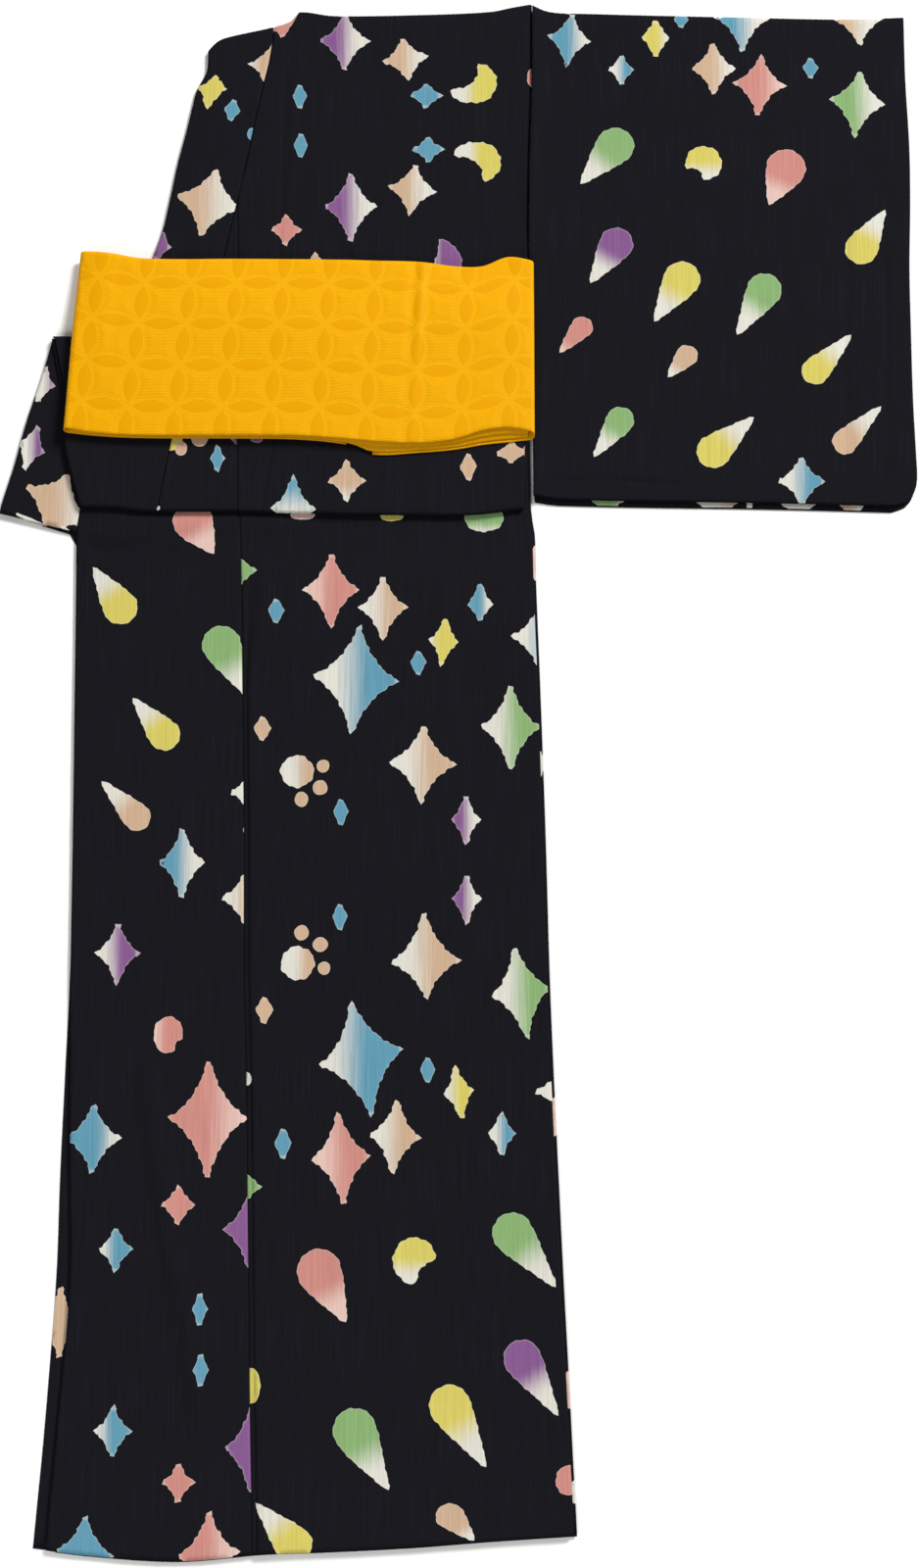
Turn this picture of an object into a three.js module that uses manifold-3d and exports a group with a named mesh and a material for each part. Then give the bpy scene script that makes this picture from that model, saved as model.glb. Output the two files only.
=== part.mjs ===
// A cotton yukata folded for storage and laid flat, with its half-width sash folded on it.
//
// The robe is folded in half down its back, left half on top, so from above it shows the left
// front, the left overlap panel, the left half of the collar and the left sleeve. At the waist
// the whole stack is tucked in a Z: down to the tuck fold, back up beneath itself to the return
// fold, and down again to the hem. The layers under the left front share one layered solid.
//
// Millimetres. +Z is up, +Y points to the neck, +X to the sleeve. The underside is flat at z = 0.
import * as THREE from 'three';
import { mergeVertices } from 'three/addons/utils/BufferGeometryUtils.js';
import Module from 'manifold-3d';

const wasm = await Module();
wasm.setup();

// Cloth and gaps
const CLOTH = 1.2; // wall of one layer with its seam allowances pressed in
const SEAM = 0.3; // gap between two pieces at a seam, and between layers
const HIDDEN = 3.0; // height of the hidden back and right-hand layers, pressed flat

// Heights of the undersides of the visible wall, from the floor up
const LOWER = HIDDEN + SEAM;
const MIDDLE = LOWER + CLOTH + SEAM;
const CORE = MIDDLE + CLOTH + SEAM;
const UPPER = CORE + HIDDEN + SEAM;

// The waist tuck and the ends of the garment along Y
const TUCK_FOLD = 210; // outermost line of the fold at the bottom of the upper run
const RETURN_FOLD = 366; // outermost line of the fold hidden under the sash
const RAMP_END = 472; // where the upper run has come down to the single stack
const NECK_ROW = 680; // the row that becomes the shoulder line
const HEM_ROW = -686; // the row that becomes the hem
const BLEND = 80; // the stretch at each end in which rows bend to the end's own line
const SHOULDER_RADIUS = 1.35; // of the rolled edge along the shoulder, to the wall's middle
const TIP = 498; // the tip of the overlap panel on the collar seam
const RAMP_ROWS = [RAMP_END - 2, 452, 430, 409, 388, RETURN_FOLD + 2]; // shared by all layers there

// The upper run, a row for each section: the collar's outer edge, the collar seam, the seam of
// the overlap panel and the side. Above the tip the two seams are one line.
const UPPER_RUN = [
  { y: 680, outer: -229, collar: -169, okumi: -169, side: 66 },
  { y: 640, outer: -230, collar: -173, okumi: -173, side: 66 },
  { y: 606, outer: -238, collar: -179, okumi: -179, side: 65.5 },
  { y: 564, outer: -247, collar: -187, okumi: -187, side: 64 },
  { y: 530, outer: -255, collar: -193.5, okumi: -193.5, side: 63 },
  { y: TIP, outer: -261, collar: -200, okumi: -200, side: 62.5 },
  { y: 465, outer: -268, collar: -207.5, okumi: -199.5, side: 62 },
  { y: 420, outer: -283, collar: -217, okumi: -199, side: 62 },
  { y: 370, outer: -308, collar: -230, okumi: -198, side: 61 },
  { y: 320, outer: -332, collar: -242, okumi: -197.5, side: 60 },
  { y: 276, outer: -349, collar: -254, okumi: -197, side: 58 },
  { y: 240, outer: -343, collar: -261.5, okumi: -196.5, side: 57 },
  { y: TUCK_FOLD, outer: -334, collar: -267, okumi: -196, side: 57 },
];

// The middle run, hidden inside the tuck, from the tuck fold up to the return fold.
const MIDDLE_RUN = [
  { y: TUCK_FOLD, outer: -334, collar: -267, okumi: -196, side: 57 },
  { y: 262, outer: -343, collar: -278, okumi: -196, side: 58 },
  { y: 316, outer: -354, collar: -290, okumi: -196.5, side: 58.5 },
  { y: RETURN_FOLD, outer: -364, collar: -300, okumi: -197, side: 59 },
];

// The lower run down to the hem. Below the collar's end the overlap panel has its own front edge,
// and "under" is the edge of the right overlap panel beneath it, which shows near the hem.
const LOWER_RUN = [
  { y: RETURN_FOLD, outer: -364, collar: -300, okumi: -197, side: 59, under: -363 },
  { y: 333, outer: -372, collar: -308, okumi: -196.5, side: 59, under: -370 },
  { y: 290, outer: -385, collar: -318, okumi: -196, side: 59.5, under: -383 },
  { y: 249, outer: -395, collar: -328, okumi: -195.5, side: 60, under: -394 },
  { y: 206, outer: -406.8, collar: -336, okumi: -194.5, side: 61, under: -404 },
  { y: 186, outer: -406.8, collar: -338, okumi: -193.5, side: 64, under: -339 },
  { y: 140, outer: -406.8, collar: -337.5, okumi: -192, side: 65, under: -336 },
  { y: 52, outer: -406.8, collar: -336.5, okumi: -190, side: 68, under: -335 },
  { y: -78, outer: -406.8, collar: -335, okumi: -187, side: 72, under: -334 },
  { y: -205, outer: -406.8, collar: -334, okumi: -185, side: 75, under: -335 },
  { y: -289, outer: -406.8, collar: -332, okumi: -182, side: 78, under: -337 },
  { y: -371, outer: -406.8, collar: -330, okumi: -180, side: 81.5, under: -339 },
  { y: -453, outer: -406.8, collar: -328, okumi: -178, side: 85, under: -340 },
  { y: -557, outer: -406.8, collar: -334, okumi: -175.5, side: 90, under: -345.5 },
  { y: -640, outer: -406.8, collar: -340, okumi: -173, side: 93.5, under: -351 },
  { y: HEM_ROW, outer: -406.8, collar: -342.5, okumi: -172, side: 95, under: -354 },
];

// The slow unevenness of the laid cloth, and the stretch round the sash that stays flat.
const SWELL = { height: 0.75, lengths: [61, 73], phase: 0.8, flatAt: 340, flatHalf: 130 };

// The tuck fold isn't straight: how far it lies from TUCK_FOLD, and how far up that is felt.
const TUCK_LINE = [
  { x: -334, y: 0.7 },
  { x: -195, y: 0 },
  { x: -146, y: -2.7 },
  { x: -60, y: -4.5 },
  { x: 10, y: -4.5 },
  { x: 57, y: 0 },
];
const TUCK_REACH = 85;

// The three end lines: shoulder and neck, hem, and the lower end of the collar.
const SHOULDER_LINE = [
  { x: -230, y: 639 },
  { x: -220, y: 649.5 },
  { x: -208.5, y: 654 },
  { x: -168.5, y: 663.5 },
  { x: -153, y: 669.5 },
  { x: -147.5, y: 677.5 },
  { x: -115.5, y: 674 },
  { x: -35, y: 675 },
  { x: 28, y: 678 },
  { x: 50, y: 682.5 },
  { x: 66, y: 685.3 },
];
const HEM_LINE = [
  { x: -354, y: -676 },
  { x: -303, y: -682 },
  { x: -231, y: -686 },
  { x: -163, y: -680.4 },
  { x: -117, y: -678.8 },
  { x: -39, y: -675 },
  { x: 23, y: -670.3 },
  { x: 97, y: -665.6 },
];
const COLLAR_END = { outer: 206, seam: 189 }; // heights along Y of the collar's lower corners

// The sleeve: one length of cloth folded at the shoulder, a row for each section of its width.
const SLEEVE_ROWS = [
  { y: 676, inner: 66.2, outer: 405.2 },
  { y: 612, inner: 65.8, outer: 405.2 },
  { y: 547, inner: 63.6, outer: 406.9 },
  { y: 489, inner: 62.4, outer: 406.2 },
  { y: 432, inner: 62.1, outer: 404 },
  { y: 369, inner: 63, outer: 403.6 },
  { y: 307, inner: 64.5, outer: 403.7 },
  { y: 258, inner: 65, outer: 405 },
  { y: 240, inner: 65, outer: 405.2 },
  { y: 229, inner: 65, outer: 402.5 },
  { y: 221, inner: 65, outer: 396 },
  { y: 217, inner: 65, outer: 384 },
];
const SLEEVE_TOP = [
  { x: 62, y: 684.6 },
  { x: 81.5, y: 676 },
  { x: 117, y: 674 },
  { x: 260, y: 670.3 },
  { x: 350, y: 668.5 },
  { x: 407, y: 670.3 },
];
const SLEEVE_BOTTOM = [
  { x: 62, y: 222.5 },
  { x: 88, y: 218.7 },
  { x: 278, y: 215.2 },
  { x: 380, y: 212.5 },
];
const SLEEVE_AIR = 0.5; // air between the sleeve's front and back
const UNDER_SLEEVE = { inset: [1.5, 1], peek: [6.5, 5] }; // its two layers, set in and showing below
const SEAM_RIDGE = { width: 16, height: 1.3 }; // seam allowances of the armhole under the sleeve

// The sash: width of the folded bundle along X, and its edges along Y by section.
const SASH_CLOTH = 1.1;
const SASH_LAYERS = 5; // hidden layers between its outermost turns
const SASH_LAYER = 1.0;
const SASH_ENDS = { left: -350, right: 66.5, tail: -77, innerTail: -100 };
const SASH_SECTIONS = [
  { x: -350, top: 445.5, upperEdge: 280, lowerEdge: 277.8 },
  { x: -322, top: 443, upperEdge: 275.6, lowerEdge: 274.5 },
  { x: -283, top: 437.5, upperEdge: 273.2, lowerEdge: 272.5 },
  { x: -195, top: 437.2, upperEdge: 272.9, lowerEdge: 272 },
  { x: -141, top: 436.8, upperEdge: 272.5, lowerEdge: 271 },
  { x: -98, top: 436.2, upperEdge: 269.6, lowerEdge: 266 },
  { x: -77, top: 435.5, upperEdge: 267.6, lowerEdge: 257.3 },
  { x: -35, top: 434.2, upperEdge: 265.8, lowerEdge: 259 },
  { x: -4, top: 430, upperEdge: 269.4, lowerEdge: 261.7 },
  { x: 20, top: 430, upperEdge: 277, lowerEdge: 266 },
  { x: 43, top: 438.5, upperEdge: 280, lowerEdge: 268.5 },
  { x: 66, top: 435, upperEdge: 276, lowerEdge: 271 },
];
const SASH_STEP = { x: -38, width: 9, height: 0.9 }; // an inner end shows through as a ridge
const SASH_TAPER = 3; // how much further back its upper turns reach than its lower ones
const SASH_LEAN = 10; // how far its left end leans over its width
const SASH_DROOP = { from: 322, depth: 3.5 }; // its upper left corner hangs past the collar
const SASH_STAGGER = 1.2; // by which every other inner turn is set back

const SHARP_TURN = 12; // a change between two rows that is a corner of an outline, not a curve
const NAVY = 0x1a1a20;
const SASH_YELLOW = 0xfbb60f;

// Cubic interpolation of one column of a table, along another column.
function along(rows, key, column, where) {
  const rising = rows[rows.length - 1][key] > rows[0][key];
  const at = (i) => rows[Math.min(Math.max(i, 0), rows.length - 1)];
  let i = 0;
  while (i < rows.length - 2 && (rising ? where > at(i + 1)[key] : where < at(i + 1)[key])) {
    i += 1;
  }
  const [a, b] = [at(i), at(i + 1)];
  const span = b[key] - a[key];
  const t = THREE.MathUtils.clamp((where - a[key]) / span, 0, 1);
  const slope = (from, to) => {
    const run = to[key] - from[key];
    return run === 0 ? 0 : (to[column] - from[column]) / run;
  };
  const here = slope(a, b) * span;
  const before = slope(at(i - 1), b) * span;
  const after = slope(a, at(i + 2)) * span;
  // A tangent is held back where the line turns sharply, so that a corner stays a corner.
  const soft = (tangent) => (Math.abs(tangent - here) > SHARP_TURN ? here : tangent);
  const [m0, m1] = [soft(before), soft(after)];
  const [t2, t3] = [t * t, t * t * t];
  return (2 * t3 - 3 * t2 + 1) * a[column] + (t3 - 2 * t2 + t) * m0
    + (3 * t2 - 2 * t3) * b[column] + (t3 - t2) * m1;
}

// Bends the rows near an end of the garment onto that end's own line.
function settle(x, y, trim = 0) {
  const upperStart = NECK_ROW - BLEND;
  if (y > upperStart) {
    const line = along(SHOULDER_LINE, 'x', 'y', x) - trim;
    return upperStart + ((y - upperStart) / BLEND) * (line - upperStart);
  }
  const lowerStart = HEM_ROW + BLEND;
  if (y < lowerStart) {
    const line = along(HEM_LINE, 'x', 'y', x) + trim;
    return lowerStart + ((lowerStart - y) / BLEND) * (line - lowerStart);
  }
  return y;
}

// How far the tuck's uneven fold moves a point of the upper or middle run along Y.
function tuckShift(x, y) {
  const felt = THREE.MathUtils.smoothstep(TUCK_FOLD + TUCK_REACH - y, 0, TUCK_REACH);
  return felt * along(TUCK_LINE, 'x', 'y', x);
}

// Height of the hidden stack under the upper run: the tuck's core, then a ramp to the floor stack.
function stackTop(y) {
  const full = CORE + HIDDEN;
  const t = THREE.MathUtils.smoothstep(RAMP_END - y, 0, RAMP_END - RETURN_FOLD);
  return HIDDEN + t * (full - HIDDEN);
}

// A slow unevenness of laid cloth, always upward, and nothing where the sash or the tuck lies on it.
function swell(x, y) {
  const [across, down] = SWELL.lengths;
  const wave = Math.sin(x / across + y / (across + down)) * Math.sin(y / down - x / (2 * down) + SWELL.phase);
  const clear = THREE.MathUtils.smoothstep(Math.abs(y - SWELL.flatAt), SWELL.flatHalf, SWELL.flatHalf + 60);
  return SWELL.height * Math.max(wave, 0) ** 1.5 * clear;
}

// A closed solid from a grid of stations by columns. place gives a point of its inner face
// (side 0) or outer face (side 1). The faces are turned so that they point out.
function solidFromGrid(stations, columns, place) {
  const positions = [];
  const faces = [];
  const wide = columns + 1;
  stations.forEach((station) => {
    for (let j = 0; j < wide; j += 1) {
      for (let side = 0; side < 2; side += 1) {
        positions.push(...place(station, j / columns, side));
      }
    }
  });
  const index = (i, j, side) => (i * wide + j) * 2 + side;
  const quad = (a, b, c, d) => faces.push(a, b, c, a, c, d);
  const last = stations.length - 1;
  for (let i = 0; i < last; i += 1) {
    for (let j = 0; j < columns; j += 1) {
      quad(index(i, j, 1), index(i, j + 1, 1), index(i + 1, j + 1, 1), index(i + 1, j, 1));
      quad(index(i, j, 0), index(i + 1, j, 0), index(i + 1, j + 1, 0), index(i, j + 1, 0));
    }
    quad(index(i, 0, 0), index(i, 0, 1), index(i + 1, 0, 1), index(i + 1, 0, 0));
    quad(index(i, columns, 1), index(i, columns, 0), index(i + 1, columns, 0), index(i + 1, columns, 1));
  }
  for (let j = 0; j < columns; j += 1) {
    quad(index(0, j, 0), index(0, j + 1, 0), index(0, j + 1, 1), index(0, j, 1));
    quad(index(last, j, 1), index(last, j + 1, 1), index(last, j + 1, 0), index(last, j, 0));
  }
  const geometry = new THREE.BufferGeometry();
  geometry.setAttribute('position', new THREE.Float32BufferAttribute(positions, 3));
  geometry.setIndex(signedVolume(positions, faces) < 0 ? faces.reverse() : faces);
  return geometry;
}

function signedVolume(positions, faces) {
  const point = (i) => new THREE.Vector3().fromArray(positions, i * 3);
  let sum = 0;
  for (let f = 0; f < faces.length; f += 3) {
    sum += point(faces[f]).dot(point(faces[f + 1]).cross(point(faces[f + 2])));
  }
  return sum / 6;
}

// Joins closed geometries into one.
function joined(geometries) {
  const solids = geometries.map((geometry) => {
    const merged = mergeVertices(geometry, 1e-4);
    return new wasm.Manifold(new wasm.Mesh({
      numProp: 3,
      vertProperties: Float32Array.from(merged.attributes.position.array),
      triVerts: Uint32Array.from(merged.index.array),
    }));
  });
  const mesh = solids.reduce((sum, solid) => sum.add(solid)).getMesh();
  const geometry = new THREE.BufferGeometry();
  geometry.setAttribute('position', new THREE.Float32BufferAttribute(mesh.vertProperties, 3));
  geometry.setIndex(Array.from(mesh.triVerts));
  return geometry;
}

function cloth(name, geometry, color, roughness = 0.85) {
  geometry.computeVertexNormals();
  const material = new THREE.MeshStandardMaterial({ color, roughness, metalness: 0 });
  const mesh = new THREE.Mesh(geometry, material);
  mesh.name = name;
  return mesh;
}

// Rows between two heights along Y, evenly spaced, both ends included.
function rowsBetween(from, to, count) {
  return Array.from({ length: count + 1 }, (_, i) => from + ((to - from) * i) / count);
}

// Stations of the folded path of the visible wall: its centre line (y, z), the direction that its
// right side faces (ny, nz), and the table that gives its edges there.
function foldedPath({ fromY = NECK_ROW, toY = HEM_ROW, turnedTop = true }) {
  const path = [];
  const half = CLOTH / 2;
  if (turnedTop) {
    for (const angle of [0, 30, 60]) {
      const a = THREE.MathUtils.degToRad(angle);
      const z = stackTop(NECK_ROW) + SEAM + half - SHOULDER_RADIUS * (1 - Math.sin(a));
      const y = NECK_ROW - SHOULDER_RADIUS * (1 - Math.cos(a));
      path.push({ y, z, ny: Math.cos(a), nz: Math.sin(a), run: UPPER_RUN });
    }
  }
  const tuckRadius = HIDDEN / 2 + SEAM + half;
  const tuckCentre = { y: TUCK_FOLD + tuckRadius + half, z: CORE + HIDDEN / 2 };
  const start = turnedTop ? fromY - SHOULDER_RADIUS - 2 : fromY;
  const aboveRamp = turnedTop ? [...rowsBetween(start, TIP, 6), RAMP_END + 4] : [start, RAMP_END + 4];
  const upperRows = [...aboveRamp, ...RAMP_ROWS,
    ...rowsBetween(RETURN_FOLD - 12, tuckCentre.y, 6)];
  for (const y of upperRows) {
    path.push({ y, z: stackTop(y) + SEAM + half, ny: 0, nz: 1, run: UPPER_RUN });
  }
  for (const angle of [30, 60, 90, 120, 150]) {
    const a = THREE.MathUtils.degToRad(angle);
    const [ny, nz] = [-Math.sin(a), Math.cos(a)];
    const y = tuckCentre.y + ny * tuckRadius;
    path.push({ y, z: tuckCentre.z + nz * tuckRadius, ny, nz, run: MIDDLE_RUN });
  }
  const returnRadius = (CLOTH + SEAM) / 2;
  const returnCentre = { y: RETURN_FOLD - returnRadius - half, z: MIDDLE - SEAM / 2 };
  for (const y of rowsBetween(tuckCentre.y, returnCentre.y, 4)) {
    path.push({ y, z: MIDDLE + half, ny: 0, nz: -1, run: MIDDLE_RUN });
  }
  for (const angle of [45, 90, 135]) {
    const a = THREE.MathUtils.degToRad(angle);
    const [outY, outZ] = [Math.sin(a), Math.cos(a)];
    path.push({
      y: returnCentre.y + outY * returnRadius,
      z: returnCentre.z + outZ * returnRadius,
      ny: -outY,
      nz: -outZ,
      run: LOWER_RUN,
    });
  }
  const lowerRows = [...rowsBetween(returnCentre.y, 206, 4), 186, 160, 120,
    ...rowsBetween(70, HEM_ROW, 15)];
  for (const y of lowerRows.filter((row) => row > toY - 0.01)) {
    path.push({ y, z: LOWER + half, ny: 0, nz: 1, run: LOWER_RUN });
  }
  return path;
}

// One panel of the folded wall, between two columns of the tables.
function foldedPanel(path, columns, leftOf, rightOf, endLine = null) {
  return solidFromGrid(path, columns, (station, across, side) => {
    const shift = (side - 0.5) * CLOTH;
    const x = THREE.MathUtils.lerp(leftOf(station), rightOf(station), across);
    const shiftY = station.run === LOWER_RUN ? 0 : tuckShift(x, station.y);
    const centreY = (endLine ? endLine(x, station) : settle(x, station.y, 1)) + shiftY;
    const rise = station.nz > 0.99 ? swell(x, centreY) : 0;
    return [x, centreY + station.ny * shift, station.z + station.nz * shift + rise];
  });
}

const edgeOf = (station, column) => along(station.run, 'y', column, station.y);

function leftFront() {
  const path = foldedPath({});
  const seamSide = (s) => edgeOf(s, 'okumi') + SEAM / 2;
  return cloth('left_front', foldedPanel(path, 7, seamSide, (s) => edgeOf(s, 'side')), NAVY);
}

function leftOverlap() {
  const path = foldedPath({ fromY: TIP - 8, turnedTop: false });
  const collarSide = (s) => edgeOf(s, 'collar') + SEAM / 2;
  const seamSide = (s) => edgeOf(s, 'okumi') - SEAM / 2;
  return cloth('left_overlap', foldedPanel(path, 4, collarSide, seamSide), NAVY);
}

function leftCollar() {
  const path = foldedPath({ toY: COLLAR_END.outer });
  // The last rows slant to the collar's lower end, whose seam corner lies nearer the hem.
  const drop = (station) => {
    const lower = station.run === LOWER_RUN && station.nz > 0.99;
    const reach = THREE.MathUtils.clamp((RETURN_FOLD - station.y) / (RETURN_FOLD - COLLAR_END.outer), 0, 1);
    return lower ? (COLLAR_END.outer - COLLAR_END.seam) * reach ** 2 : 0;
  };
  const outerSide = (s) => edgeOf(s, 'outer');
  const seamSide = (s) => along(s.run, 'y', 'collar', s.y - drop(s)) - 2 * SEAM;
  const slant = (x, station) => {
    const across = (x - outerSide(station)) / (seamSide(station) - outerSide(station));
    return settle(x, station.y, 1) - drop(station) * across;
  };
  return cloth('left_collar', foldedPanel(path, 3, outerSide, seamSide, slant), NAVY);
}

// A stack of pressed layers as one solid: each layer has its own edges, and a block set in from
// the edges joins them, so that the stack is layered all round.
function layered(layerCount, height, buildLayer) {
  const step = height / layerCount;
  const layers = Array.from({ length: layerCount }, (_, k) => (
    buildLayer(k, k * step, (k + 1) * step - (k === layerCount - 1 ? 0 : GROOVE))
  ));
  const inner = buildLayer(null, step * 0.4, height - step * 0.4);
  return joined([...layers, inner]);
}

// How far each hidden layer reaches past the left front, from the floor up: the right front, the
// right back and the left back.
const HIDDEN_LAYERS = [
  { left: 0, side: 1.2, trim: 0.6 },
  { left: 3.5, side: 0.2, trim: 2.2 },
  { left: 5, side: 2.6, trim: 0 },
];
const SHOULDER_TRIM = 5; // the hidden layers end inside the rolled shoulder edge
const BLOCK_INSET = 7; // of the block that joins pressed layers
const CORE_INSET = { left: 3, right: 1.5, front: 1.2 }; // of the layers inside the tuck from the wall's edges
const GROOVE = 0.12; // between two pressed layers at their edges

function hiddenLayers() {
  const rows = [...rowsBetween(HEM_ROW, 100, 14), 150, 186, 206, ...rowsBetween(250, RETURN_FOLD, 3),
    ...rowsBetween(RETURN_FOLD + 10, NECK_ROW, 10)];
  const stack = layered(HIDDEN_LAYERS.length, HIDDEN, (k, bottom, top) => {
    const block = k === null;
    const layer = block ? { left: BLOCK_INSET, side: -BLOCK_INSET, trim: BLOCK_INSET } : HIDDEN_LAYERS[k];
    return solidFromGrid(rows, 4, (y, across, side) => {
      const lower = y <= RETURN_FOLD;
      const run = lower ? LOWER_RUN : UPPER_RUN;
      const left = along(run, 'y', lower ? 'under' : 'outer', y) + (lower ? 0 : 1.5) + layer.left;
      const right = along(run, 'y', 'side', y) + (lower ? layer.side : Math.min(layer.side, -1));
      const x = THREE.MathUtils.lerp(left, right, across);
      const end = y > 0 ? Math.max(layer.trim, SHOULDER_TRIM) : layer.trim;
      return [x, settle(x, y, end), side ? top : bottom];
    });
  });
  return joined([stack, tuckCore()]);
}

// The hidden layers inside the tuck, and the ramp by which they come down to the floor stack.
function tuckCore() {
  const front = TUCK_FOLD + CLOTH + SEAM + CORE_INSET.front;
  const rows = [front, ...rowsBetween(front + 0.8, RETURN_FOLD + SEAM, 5),
    ...RAMP_ROWS.toReversed()];
  return solidFromGrid(rows, 8, (y, across, side) => {
    const behind = y > RETURN_FOLD + 1;
    const left = along(UPPER_RUN, 'y', 'outer', y) + CORE_INSET.left;
    const right = along(UPPER_RUN, 'y', 'side', y) - CORE_INSET.right;
    const x = THREE.MathUtils.lerp(left, right, across);
    const rounding = y === front ? HIDDEN / 4 : 0;
    const bottom = behind ? HIDDEN - 0.4 : CORE + rounding;
    return [x, y + tuckShift(x, y), side ? stackTop(y) - rounding : bottom];
  });
}

// Rows of the sleeve from its lower edge to the shoulder, bent onto its top and bottom lines.
function sleevePoint(y, across, inset = 0, drop = 0) {
  const inner = along(SLEEVE_ROWS, 'y', 'inner', y) + SEAM + inset;
  const outer = along(SLEEVE_ROWS, 'y', 'outer', y) - inset;
  const x = THREE.MathUtils.lerp(inner, outer, across);
  const [topRow, bottomRow] = [SLEEVE_ROWS[0].y, SLEEVE_ROWS[SLEEVE_ROWS.length - 1].y];
  const nearTop = THREE.MathUtils.clamp((y - (topRow - BLEND)) / BLEND, 0, 1);
  const nearBottom = THREE.MathUtils.clamp((bottomRow + BLEND - y) / BLEND, 0, 1);
  const toTop = along(SLEEVE_TOP, 'x', 'y', x) - topRow - inset;
  const toBottom = along(SLEEVE_BOTTOM, 'x', 'y', x) - bottomRow - drop + inset;
  return [x, y + nearTop * toTop + nearBottom * toBottom];
}

function leftSleeve() {
  const radius = (CLOTH + SLEEVE_AIR) / 2;
  const centre = LOWER + CLOTH + SLEEVE_AIR / 2;
  const top = SLEEVE_ROWS[0].y - radius - CLOTH / 2;
  const bottom = SLEEVE_ROWS[SLEEVE_ROWS.length - 1].y;
  const rows = [bottom, 221, 229, 240, 258, ...rowsBetween(300, top, 8)];
  const path = [
    ...rows.map((y) => ({ y, out: 0, up: -1 })),
    ...[45, 90, 135].map((angle) => {
      const a = THREE.MathUtils.degToRad(angle);
      return { y: top, out: Math.sin(a), up: -Math.cos(a) };
    }),
    ...rows.reverse().map((y) => ({ y, out: 0, up: 1 })),
  ];
  const geometry = solidFromGrid(path, 9, (station, across, side) => {
    // Columns crowd towards the armhole, where the seam ridge runs.
    const [x, y] = sleevePoint(station.y, across ** 1.6, 0);
    const reach = radius + (side - 0.5) * CLOTH;
    const fromSeam = x - along(SLEEVE_ROWS, 'y', 'inner', y);
    const ridge = SEAM_RIDGE.height * (1 - THREE.MathUtils.smoothstep(fromSeam, 2, SEAM_RIDGE.width));
    const rise = station.up > 0.5 ? ridge + swell(x, y) : 0;
    return [x, y + station.out * reach, centre + station.up * reach + rise];
  });
  return cloth('left_sleeve', geometry, NAVY);
}

function rightSleeve() {
  const bottom = SLEEVE_ROWS[SLEEVE_ROWS.length - 1].y;
  const rows = [bottom, 221, 229, 240, 258, ...rowsBetween(300, SLEEVE_ROWS[0].y - 1, 5)];
  const geometry = layered(2, HIDDEN, (k, floor, top) => {
    const inset = k === null ? BLOCK_INSET : UNDER_SLEEVE.inset[k];
    const peek = k === null ? 0 : UNDER_SLEEVE.peek[k];
    return solidFromGrid(rows, 4, (y, across, side) => (
      [...sleevePoint(y, across, inset, peek), side ? top : floor]
    ));
  });
  return cloth('right_sleeve', geometry, NAVY);
}

// The sash lies on the upper run and follows its ramp. Its right end rides up on the sleeve's seam.
const SLEEVE_TOP_FACE = LOWER + 2 * CLOTH + SLEEVE_AIR + SEAM_RIDGE.height;
function sashRest(x, y) {
  const onFront = stackTop(y) + SEAM + CLOTH + SEAM;
  const onSleeve = Math.max(SLEEVE_TOP_FACE + SEAM - onFront, 0);
  const { smoothstep } = THREE.MathUtils;
  const beyondCollar = smoothstep(-x, SASH_DROOP.from, -SASH_ENDS.left);
  const droop = SASH_DROOP.depth * beyondCollar * smoothstep(y, RETURN_FOLD - 16, 430);
  return onFront + onSleeve * smoothstep(x, 20, 58) - droop;
}

// How far a left-hand point of the sash leans: its upper corner lies nearer the sleeve.
function sashLean(x, y) {
  const upward = (y - SASH_SECTIONS[0].upperEdge) / (SASH_SECTIONS[0].top - SASH_SECTIONS[0].upperEdge);
  return SASH_LEAN * upward * THREE.MathUtils.smoothstep(-x, 250, -SASH_ENDS.left);
}

// Columns across the sash: its two edges, and between them the rows that every layer shares.
const SASH_ROWS = [297, 330, 352, ...RAMP_ROWS.slice(3).toReversed()];
function sashRow(front, back, across) {
  const rows = [front, ...SASH_ROWS, back];
  return rows[Math.round(across * (rows.length - 1))];
}
const SASH_COLUMNS = SASH_ROWS.length + 1;

const sashStep = (x) => SASH_STEP.height * Math.exp(-(((x - SASH_STEP.x) / SASH_STEP.width) ** 2));
const SASH_CORE_HEIGHT = SASH_LAYERS * SASH_LAYER;
const SASH_TOP = SASH_CLOTH + SEAM + SASH_CORE_HEIGHT + SEAM; // underside of its top turn

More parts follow.
